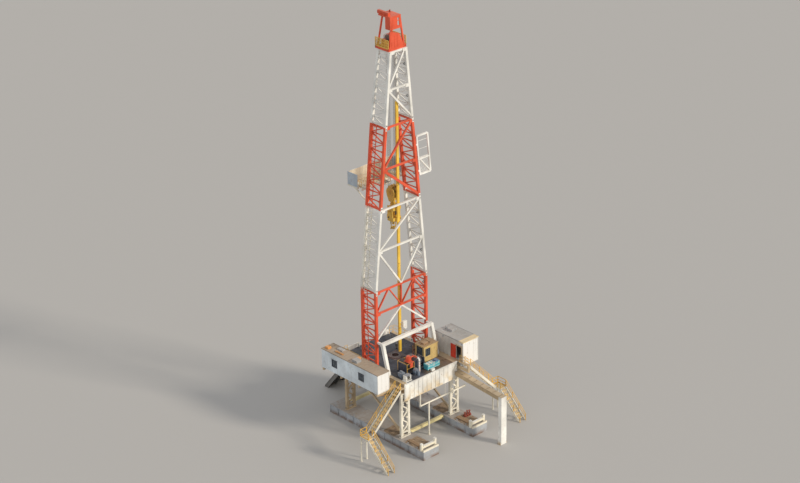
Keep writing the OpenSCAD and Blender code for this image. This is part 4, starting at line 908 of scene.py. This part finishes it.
def winch_details():
    """The air winch's cover, motor, lever and bolts"""
    winch = Piece("winch_details", "steel_blue", 3, (-2200, -3450, FLOOR_Z))
    winch.box((100, 30, 420), (460, 380, 440))
    winch.disc((560, 210, 230), RIGHT, 75, 60, 20)
    winch.tube([(590, 210, 300), (590, 210, 380), (530, 280, 400)], 16)
    winch.bolts(product((40, 520), (20, 400), (40,)), UP, 14, 14)


def rotary_details():
    """Bushing ring and bolts of the rotary table, covers and a pipe in the small holes beside it"""
    table = Piece("rotary_bushings", "worn_steel", 2, ON_FLOOR)
    table.bolts(circle((0, 0, 50), 440, 32, UP), UP, 12, 10)
    table.tube(circle((0, 0, 52), 275, 32, UP), 16, closed=True)
    table.bolts(product((-480, 480), (-480, 480), (20,)), UP, 30, 22)
    table.disc((900, 850, 0), UP, 130, 26, 24)
    table.disc((-900, 850, 0), UP, 110, 26, 24)
    table.disc((900, 850, 26), UP, 90, 304, 24)


def driller_cabin_details():
    """Window frames and glass, a desk and chair inside, door and corner trim, load on the roof"""
    place = (705, -2150, FLOOR_Z)
    wide, deep = 1290, 860
    frames = Piece("driller_cabin_frames", "dark_machine", 2, place)
    panes = Piece("driller_cabin_glass", "window_glass", 0, place)
    for a, b, low, high, y, out in ((150, 595, 400, 945, 0, -1), (150, wide - 150, 300, 1045, deep, 1)):
        frames.slats(X, (a, b, (a + b) / 2), 14, (y - 8, low - 14), (y + 8, high + 14))
        frames.slats(Z, (low, high), 14, (a, y - 8), (b, y + 8))
        panes.box((a, y - out * 22, low), (b, y - out * 28, high))
    frames.slats(Y, (150, deep - 150), 14, (-8, 286), (8, 1059))
    frames.slats(Z, (300, 1045), 14, (-8, 150), (8, deep - 150))
    panes.box((18, 150, 300), (24, deep - 150, 1045))
    frames.box((120, 560, 45), (1090, 740, 420))
    frames.box((450, 230, 45), (720, 440, 300))
    frames.box((450, 200, 300), (720, 260, 620))
    body = Piece("driller_cabin_trim", "cabin_tan", 3, place)
    for x, y in product((25, wide - 25), (-10, deep + 10)):
        body.box((x - 25, y - 8, 0), (x + 25, y + 8, 1135))
    body.box((700, -12, 20), (1140, 0, 1060))
    body.box((700, -22, 540), (1140, -12, 560))
    body.tube([(760, -12, 480), (760, -44, 480), (760, -44, 640), (760, -12, 640)], 9)
    roof = Piece("driller_cabin_roof_load", "rusty_pipe", 4, (705, -2150, FLOOR_Z + 1190))
    roof.slats(X, row(80, 140, 9), 12, (-55, -15), (deep + 55, 0))
    roof.box((200, 220, 0), (620, 560, 120))
    roof.slats(X, row(239, 66, 6), 19, (212, 15), (220, 105))
    roof.disc((760, 150, 25), FRONT, 28, 590, 10)
    roof.disc((850, 200, 25), FRONT, 28, 460, 10)


def pipe_rack_behind_cabin():
    """Pipes and valve stacks between the driller's cabin and the mast, brown with grease and rust"""
    rack = Piece("manifold_pipes", "rusty_pipe", 0, ON_FLOOR)
    valves = Piece("manifold_valves", "dark_red", 3, ON_FLOOR)
    for k, x in enumerate(row(760, 160, 7)):
        top = 760 + (k * 137) % 420
        low = 560 + (k * 61) % 170
        bends = ((-1120, 0), (-1120, top), (-1060, top + 90), (-960, top + 90), (-960, 0))
        rack.tube([(x, y, z) for y, z in bends], 24)
        valves.disc((x, -1120, low), UP, 46, 100, 8)
        valves.disc((x, -1166, low + 50), REAR, 40, 16)
    for z in (170, 430, 700):
        rack.disc((720, -1085, z), RIGHT, 27, 1040, 8)


def floor_edges():
    """Handrails on the floor's free edges"""
    rails = Piece("floor_handrails", "safety_yellow", 0, ON_FLOOR)
    high, spacing = 520, 600
    for start, end in (
        ((-2280, 2760), (-1990, 2760)), ((2280, 2760), (1990, 2760)), ((2440, -1180), (2440, 2780)),
        ((-2440, 800), (-2440, 2780)), ((2520, -4640), (2520, -3830)),
    ):
        for z in (high / 2, high):
            rails.tube([(*start, z), (*end, z)], 13)
        bays = max(1, round(math.dist(start, end) / spacing))
        for k in range(bays + 1):
            x, y = (a + (b - a) * k / bays for a, b in zip(start, end))
            rails.disc((x, y, 0), UP, 14, high, 8)
            rails.box((x - 26, y - 26, 0), (x + 26, y + 26, 12))


def rear_panel_details():
    """Stiffeners, lifting pads and bolts on the deep rear panel, and the clamps of the pipe below it"""
    ribs = Piece("rear_panel_ribs", "rear_white", 2, ON_FLOOR)
    ribs.slats(X, row(-2400, 400, 13), 10, (-3600, -1235), (-3634, -60))
    bolts = Piece("rear_panel_bolts", "worn_steel", 0, ON_FLOOR)
    for x in (-2100, -700, 700, 2100):
        ribs.box((x - 60, -3600, -1190), (x + 60, -3624, -1060))
        bolts.bolts(product((x - 40, x + 40), (-3624,), (-1165, -1085)), REAR, 9, 8)
    bolts.bolts([(x, -3640, -30) for x in row(-2320, 200, 24)], REAR, 11, 9)
    pipe_y, pipe_z, drop_x = -3610, 2540, -250
    clamps = Piece("drain_clamps", "cream_white", 2, (0, pipe_y, 0))
    for x in (-1000, -300, 500, 1300, 2100, 3000):
        clamps.disc((x - 20, 0, pipe_z), RIGHT, 72, 40, 20)
    for x in (-1075, 3225):
        clamps.disc((x - 14, 0, pipe_z), RIGHT, 96, 28, 20)
    for z in (500, 1300, 2150):
        clamps.disc((drop_x, 0, z), UP, 74, 40, 20)
    clamps.disc((drop_x, 0, 0), UP, 110, 24, 20)
    for x in (1300, 2100):
        clamps.bar((x, 0, pipe_z + 60), (x, 0, FLOOR_Z - 1275), 34, 20)


# Substructure and bases


def leg_details():
    """Gussets between the legs' rungs and posts, caps on the pins, bolts in the feet"""
    first_rung, last_rung = BASE_TOP + 340, LEG_TOP - 340
    for slot, name, y in (("cream_white", "rear", -3400), ("tan_steel", "front", 2175)):
        plates = Piece(f"leg_gussets_{name}", slot, 3, sides=BOTH)
        steel = Piece(f"leg_bolts_{name}", "worn_steel", sides=BOTH)
        for post in (-1, 1):
            x = BASE_X + post * 330
            for z, face in product(row(first_rung, (last_rung - first_rung) / 5, 6), (-1, 1)):
                outline = [(x - post * w, y + face * 40, z + h)
                           for w, h in ((85, -90), (215, -40), (215, 40), (85, 90))]
                plates.plate(outline, (0, face, 0), 10)
            for z, end in product((BASE_TOP + 170, LEG_TOP - 170), (-1, 1)):
                steel.disc((x + end * 125, y, z), (end, 0, 0), 62, 12, 16)
                steel.bolts(product((x + end * 137,), (y - 34, y + 34), (z - 34, z + 34)), (end, 0, 0), 7, 6)
        feet = [BASE_X + a for a in (-400, -130, 130, 400)]
        steel.bolts(product(feet, (y - 85, y + 85), (BASE_TOP + 60,)), UP, 15, 16)


def base_details():
    """Lifting eyes, flange strips, bolts, rest caps and planks on the two base boxes"""
    for s, name in ((-1, "left"), (1, "right")):
        top = (s * BASE_X, 0, BASE_TOP)
        eyes = Piece(f"base_fittings_{name}", "base_grey", 3, top, BOTH)
        for y in (-5200, -4300, -1800, -200, 1200, 3100):
            outline = ((-60, 0), (60, 0), (34, 100), (-34, 100))
            eyes.plate([(560, y + w, h) for w, h in outline], RIGHT, 22)
        for z, high in ((-612, 30), (-24, 22)):
            for y in range(-5900, 3500, 700):
                eyes.box((700, y, z), (712, y + 420, z + high))
        eyes.bolts([(640, y, 0) for y in range(-3800, 3500, 450)], UP, 16, 14)
        caps = Piece(f"base_rests_{name}", "mast_white", 4, (s * BASE_X, REST_Y, BASE_TOP), BOTH)
        caps.box((536, -84, 0), (704, 84, 40))
        caps.box((532, -88, 500), (708, 88, 566))
        caps.plate([(540, -20, 340), (540, 20, 340), (390, 20, 347), (390, -20, 347)], UP, 22)
        caps.sides = ONE
        caps.box((-480, -72, 346), (480, 72, 372))
        planks = Piece(f"base_planks_{name}", "old_timber", 4, top)
        for k, y in enumerate(row(-5400, 200, 7)):
            planks.box((-600 + 25 * (k % 3), y, 0), (560 + 30 * (k % 2), y + 165, 30 + 6 * (k % 2)))
        for k, y in enumerate(row(-2900, 190, 6)):
            planks.box((-580, y, 0), (590 - 20 * (k % 2), y + 160, 28))


def things_on_bases():
    """A valve stack and spare pipes on the bases, lugs and pins of the spreader beams"""
    stack = Piece("base_valve_stack", "dark_red", 3, (2480, -4380, 656))
    for x, high in ((0, 324), (210, 384), (420, 324)):
        stack.box((x - 75, -120, 0), (x + 75, 120, 144))
        stack.disc((x, 0, 144), UP, 52, high - 144, 14)
        stack.disc((x, 0, high), UP, 84, 26, 14)
    stack.disc((-80, 0, 74), RIGHT, 46, 590, 14)
    spare = Piece("base_spare_pipes", "rusty_pipe")
    for x in row(1960, 92, 4) + row(-2700, 92, 3):
        spare.disc((x, -5150, 690), FRONT, 40, 1100, 12)
    pins = Piece("spreader_pins", "worn_steel", 2, sides=BOTH)
    lugs = Piece("spreader_lugs", "pale_yellow", 3, sides=BOTH)
    for y in (-3000, 3100):
        pins.disc((1480, y - 150, 480), FRONT, 30, 300, 12)
        for side in (-1, 1):
            face = y + side * 100
            outline = [(1330, face, 400), (1630, face, 400), (1630, face, 590), (1330, face, 560)]
            lugs.plate(outline, (0, side, 0), 18)


def under_floor():
    """Struts below the doghouse's and the cabin's porches, pipes below the floor"""
    struts = Piece("porch_struts", "rusty_pipe", 2)
    for side, reach, top, places in (
        (-1, 4100, 4225, (-2850, -1023, 804)), (1, 3950, 4185, (-3400, -2610, -1345)),
    ):
        struts.sides = (side,)
        for y in places:
            struts.bar((2480, y, 3700), (reach, y, top), 70, 60)
            struts.box((2480, y - 60, 3620), (2520, y + 60, top))
            struts.bar((2490, y, 3690), (2300, y, 4020), 60, 50)
    beams = Piece("floor_underpipes", "rusty_pipe", 0, (0, 0, 4060))
    for x in (-1700, -1500, 1700):
        beams.disc((x, -3400, 0), FRONT, 40, 5900, 10)
        for y in (-2500, -400, 1700):
            beams.disc((x, y - 15, 0), FRONT, 54, 30, 12)


# Doghouse and right cabin

HOUSE_X, HOUSE_FOOT, HOUSE_TOP, WALK_Z = -4375, 4425, 5825, 4475
WINDOWS_Y, SILL_Z, WINDOW = (-1297, 1439), 4865, 520


def rib_places(name, side, y0, y1):
    """Where the ribs of a cabin's long wall stand, clear of its windows and doorway"""
    if name == "cabin" and side < 0:
        return row(-2550, 300, 5)
    count = round((y1 - y0) / 380)
    places = [y0 + (y1 - y0) * k / count for k in range(1, count)]
    if name == "cabin":
        return places
    if side > 0:
        return [y for y in places if not -400 < y < 300]
    return [y for y in places if min(abs(y - window) for window in WINDOWS_Y) >= 300]


def cabin_frames():
    """Corner posts, castings, panel ribs and roof edges of both cabins"""
    for name, slot, roof_slot, (x0, x1), (y0, y1), (z0, z1) in (
        ("doghouse", "house_blue_grey", "roof_tan", (HOUSE_X, -3300), (-2950, 2750), (HOUSE_FOOT, HOUSE_TOP)),
        ("cabin", "cabin_grey", "roof_grey", (2695, 4145), (-3975, -1245), (4385, 6140)),
    ):
        ribs = Piece(f"{name}_ribs", slot, 2)
        for x, s in ((x0, -1), (x1, 1)):
            ribs.slats(Y, rib_places(name, s, y0, y1), 7, (x, z0 + 90), (x + s * 8, z1 - 60))
            for low, high in ((z0, z0 + 80), (z1 - 50, z1)):
                ribs.box((x, y0 + 20, low), (x + s * 12, y1 - 20, high))
        middle, third = (x0 + x1) / 2, (x1 - x0) / 3
        end = Piece(f"{name}_end_trim", "mast_white", 3)
        for y, s in ((y0, -1), (y1, 1)):
            end.slats(X, (x0 + 35, x1 - 35), 35, (y, z0), (y + s * 12, z1))
            for low, high in ((z1 - 70, z1), (z0, z0 + 90)):
                end.box((x0, y, low), (x1, y + s * 14, high))
            end.slats(X, (x0 + third, x1 - third), 6, (y, z0 + 90), (y + s * 6, z1 - 70))
            for x, z in product((x0 + 60, x1 - 60), (z0 + 55, z1 - 55)):
                end.disc((x, y + s * 12, z), (0, s, 0), 32, 10)
        roof = Piece(f"{name}_roof_ribs", roof_slot, 2, (0, 0, z1 + 50))
        count = round((y1 - y0) / 330)
        for k in range(1, count):
            y = y0 + (y1 - y0) * k / count
            roof.box((x0 + 20, y - 9, 0), (x1 - 20, y + 9, 12))
        roof.slats(X, (x0 - 10, x1 + 10), 10, (y0, 0), (y1, 16))
        roof.disc((middle, y1 - 300, 0), UP, 45, 160, 14)
        roof.disc((middle, y1 - 300, 160), UP, 75, 30, 14)


def doghouse_details():
    """Window frames, wall seams, door frame, gear on the roof and the grating of the walkway"""
    frames = Piece("doghouse_window_frames", "dark_machine", 2)
    side = WINDOW / 2
    for y in WINDOWS_Y:
        frames.origin = (HOUSE_X, y, SILL_Z)
        frames.slats(Y, (-side, side), 16, (-14, -16), (40, WINDOW + 16))
        frames.slats(Z, (0, WINDOW), 16, (-14, -side), (40, side))
        frames.box((4, -7, 0), (34, 7, WINDOW))
        frames.box((-30, -side - 50, WINDOW + 30), (0, side + 50, WINDOW + 44))
    seam = Piece("doghouse_seams", "house_blue_grey", 2, (HOUSE_X, 0, 0))
    for y in (-30, 20):
        seam.box((0, y, HOUSE_FOOT), (-16, y + 40, HOUSE_TOP))
    seam.slats(Y, (-2500, -300, 330, 2400), 60, (-18, HOUSE_TOP - 145), (0, HOUSE_TOP - 85))
    roof = (0, 0, HOUSE_TOP + 50)
    load = Piece("doghouse_roof_load", "orange_gear", 6, roof)
    load.box((-4200, 2250, 0), (-3900, 2580, 145))
    load.box((-3700, -350, 0), (-3480, -130, 115))
    load.disc((-4050, 900, 45), FRONT, 36, 800, 10)
    load.disc((-3970, 900, 40), FRONT, 30, 740, 10)
    boxes = Piece("doghouse_roof_boxes", "roof_grey", 5, roof)
    boxes.box((-4220, -700, 0), (-3780, -200, 185))
    for y in row(-680, 52, 9):
        boxes.box((-4228, y, 25), (-4220, y + 30, 165))
    boxes.box((-3750, 1300, 0), (-3450, 1900, 85))
    door = Piece("doghouse_door_frame", "mast_white", 2, (-3300, 0, WALK_Z))
    door.slats(Y, (-300, 200), 20, (0, 0), (18, 1035))
    door.box((0, -320, 1020), (18, 220, 1060))
    walk = Piece("walkway_details", "tan_steel", 2, (-3280, 0, WALK_Z))
    walk.slats(Y, row(-2900, 210, 26), 5, (0, 0), (780, 8))


def cabin_details():
    """Frame and drip edge of the doorway, edges and handles of its leaf, a box on the roof"""
    surround = Piece("cabin_door_frame", "tan_steel", 2, (2695, -3775, 4735))
    for y in (-18, 484):
        surround.box((-6, y, 0), (30, y + 14, 1034))
    surround.box((-6, -18, 1020), (30, 498, 1036))
    surround.box((-8, -100, 0), (10, -18, 1100))
    surround.box((-8, -18, 1038), (10, 540, 1100))
    surround.box((-30, -120, 1110), (0, 600, 1124))
    hinge = (2675, -3265, 4760)
    leaf = Piece("cabin_door_details", "door_red", 2, hinge, BOTH, "door")
    for y in (14, 454):
        leaf.box((14, y, 0), (19, y + 20, 980))
    for z in (0, 470, 960):
        leaf.box((14, 14, z), (19, 474, z + 20))
    handle = Piece("cabin_door_handle", "worn_steel", 0, hinge, BOTH, "door")
    handle.tube([(14, 418, 420), (48, 418, 420), (48, 418, 570), (14, 418, 570)], 7)
    roof = Piece("cabin_roof_load", "roof_grey", 5, (3250, -2300, 6190))
    roof.box((0, 0, 0), (500, 500, 180))
    roof.slats(X, row(45, 56, 8), 15, (-8, 20), (0, 160))


def cabin_lamps():
    """Lamps on the sides of both cabins that look towards the floor"""
    lamps = Piece("cabin_lamps", "base_grey", 3)
    for side, x, y, z in ((-1, 2665, -3900, 6060), (-1, 2665, -2000, 6060), (1, -3270, -2700, 5740),
                          (1, -3270, 900, 5740)):
        lamps.origin, lamps.sides = (x, y, z), (side,)
        lamps.box((-20, -60, -40), (20, 60, 40))
        lamps.disc((10, 0, -40), (0.3, 0, -1), 46, 40)


# Stairs, ramp, cable bridge


def stair_details():
    """Grating bars on treads and landings, bolts in the stringers, toe boards, landing braces"""
    treads = Piece("stair_gratings", "tread_gold")
    clips = Piece("stair_clips", "cream_white", 2)
    rails = Piece("stair_toe_boards", "safety_yellow", 2)
    landing_z = 1950
    for s, x_land, y_head, z_top in ((-1, 5540, -3600, 4475), (1, 5395, -4700, 4725)):
        for piece in (treads, clips, rails):
            piece.origin, piece.sides = (s * x_land, y_head, 0), (s,)
        going, pitch = 2700 / 13, (z_top - landing_z) / 13
        for i in range(1, 13):
            z = landing_z + i * pitch
            for x in row(6 - (i + 1) * going, 41, 5):
                treads.box((x, 32, z), (x + 6, 548, z + 8))
            for y, way in ((0, REAR), (580, FRONT)):
                clips.disc((-(i + 0.6) * going, y, z - 10), way, 14, 10, 8)
        for x in row(20, 40, 14):
            treads.box((x, -232, landing_z), (x + 6, 580, landing_z + 8))
        going = landing_z / 9
        for i in range(1, 9):
            z = i * going
            for y in row(z - 2158, 43, 5):
                treads.box((32, y, z), (548, y + 6, z + 8))
            for x in (-8, 568):
                clips.disc((x, z + 0.6 * going - 2182, z - 10), RIGHT, 14, 12, 8)
        rails.box((574, -232, landing_z), (580, 580, landing_z + 80))
        rails.box((0, 574, landing_z), (580, 580, landing_z + 80))
        for x, reach in ((40, 70), (540, 38)):
            clips.box((x - 70, 470, 0), (x + reach, 580, 20))
            clips.bar((x, 540, 1300), (x, -100, 1890), 50, 30)


def ramp_details():
    """Wear ribs and side rails on the ramp, mesh and a top rail on the front guards"""
    ribs = Piece("ramp_ribs", "worn_steel", 2, (0, 2850, 0))
    run = (FLOOR_Z - 100) / math.tan(math.radians(50))
    for k in range(1, 15):
        y, z = run * k / 15, FLOOR_Z * (1 - k / 15)
        ribs.box((-760, y - 20, z - 4), (760, y + 14, z + 20))
    for x in (-780, 780):
        ribs.bar((x, 0, FLOOR_Z + 30), (x, run - 40, 60), 40, 70)
    mesh = Piece("guard_mesh", "mast_white", 0, ON_FLOOR, BOTH)
    mesh.slats(X, row(860, 130, 9), 8, (2886, 10), (2882, 290))
    mesh.disc((850, 2850, 312), RIGHT, 16, 1100, 8)


def bridge_details():
    """Rungs, lines and covers of the cable bridge"""
    y0, y1, z0, z1 = -7850, -3600, 3650, 3980
    middle = (2500, 0, 0)

    def height(y):
        return z0 + (z1 - z0) * (y - y0) / (y1 - y0)

    tray = Piece("bridge_rungs", "tan_steel", 2, middle)
    for y in row(y0 + 140, 285, 15):
        tray.bar((-200, y, height(y) - 60), (200, y, height(y) - 60), 40, 24)
    tray.sides = BOTH
    for y in row(y0 + 200, 430, 10):
        tray.box((230, y - 12, height(y) - 290), (240, y + 12, height(y) - 10))
    lines = Piece("bridge_lines", "rusty_pipe", 0, middle)
    for x in row(-150, 60, 6):
        lines.tube([(x, y, height(y) - 215) for y in (y0 + 20, -6500, -5000, y1 - 60)], 24)
    lid = Piece("bridge_covers", "tan_steel", 3, middle)
    for a in row(y0 + 60, 600, 7):
        b = min(a + 560, y1 - 40)
        corners = ((-215, a), (215, a), (215, b), (-215, b))
        lid.plate([(x, y, height(y) + 1) for x, y in corners], UP, 10)


def column_details():
    """Bands, foot plate with ribs, lid and bolts of the cable column"""
    middle = (2500, -8000, 0)
    column = Piece("column_details", "mast_white", 3, middle, BOTH)
    for z in (40, 900, 1800, 2700, 3560):
        column.box((250, -140, z), (262, 140, z + 50))
    column.sides = ONE
    for z in (40, 1200, 2400):
        column.box((-238, 150, z), (238, 162, z + 50))
    foot = Piece("column_foot_and_lid", "tan_steel", 3, middle)
    thick, rib_top = 24, 230
    foot.box((-254, -149, 3664), (254, 154, 3676))
    foot.box((-330, -149, 0), (330, 200, thick))
    for x in (-200, -20, 160):
        foot.plate([(x, 150, thick), (x, 196, thick), (x, 150, rib_top)], RIGHT, 16)
    foot.sides = BOTH
    for y in (-110, 0, 110):
        foot.plate([(250, y, thick), (325, y, thick), (250, y, rib_top)], FRONT, 16)
    steel = Piece("column_bolts", "worn_steel", 0, middle)
    steel.bolts(product((-295, 295), (-100, 150), (thick,)), UP, 18, 18)


for build in (
    camera, lights, studio_floor, dress_frame, drill_lines, mast_gussets, mast_joints, ladder_cage,
    mast_lamps, track_fittings, crown_details, block_details, drive_details, board_details, stabbing_mesh,
    drawworks_details, duct_details, winch_power_unit, locker_details, winch_details, rotary_details,
    driller_cabin_details, pipe_rack_behind_cabin, floor_edges, rear_panel_details, leg_details,
    base_details, things_on_bases, under_floor, cabin_frames, doghouse_details, cabin_details, cabin_lamps,
    stair_details, ramp_details, bridge_details, column_details,
):
    build()
while PIECES:
    PIECES[0].done()

bpy.context.scene.view_settings.view_transform = "Standard"
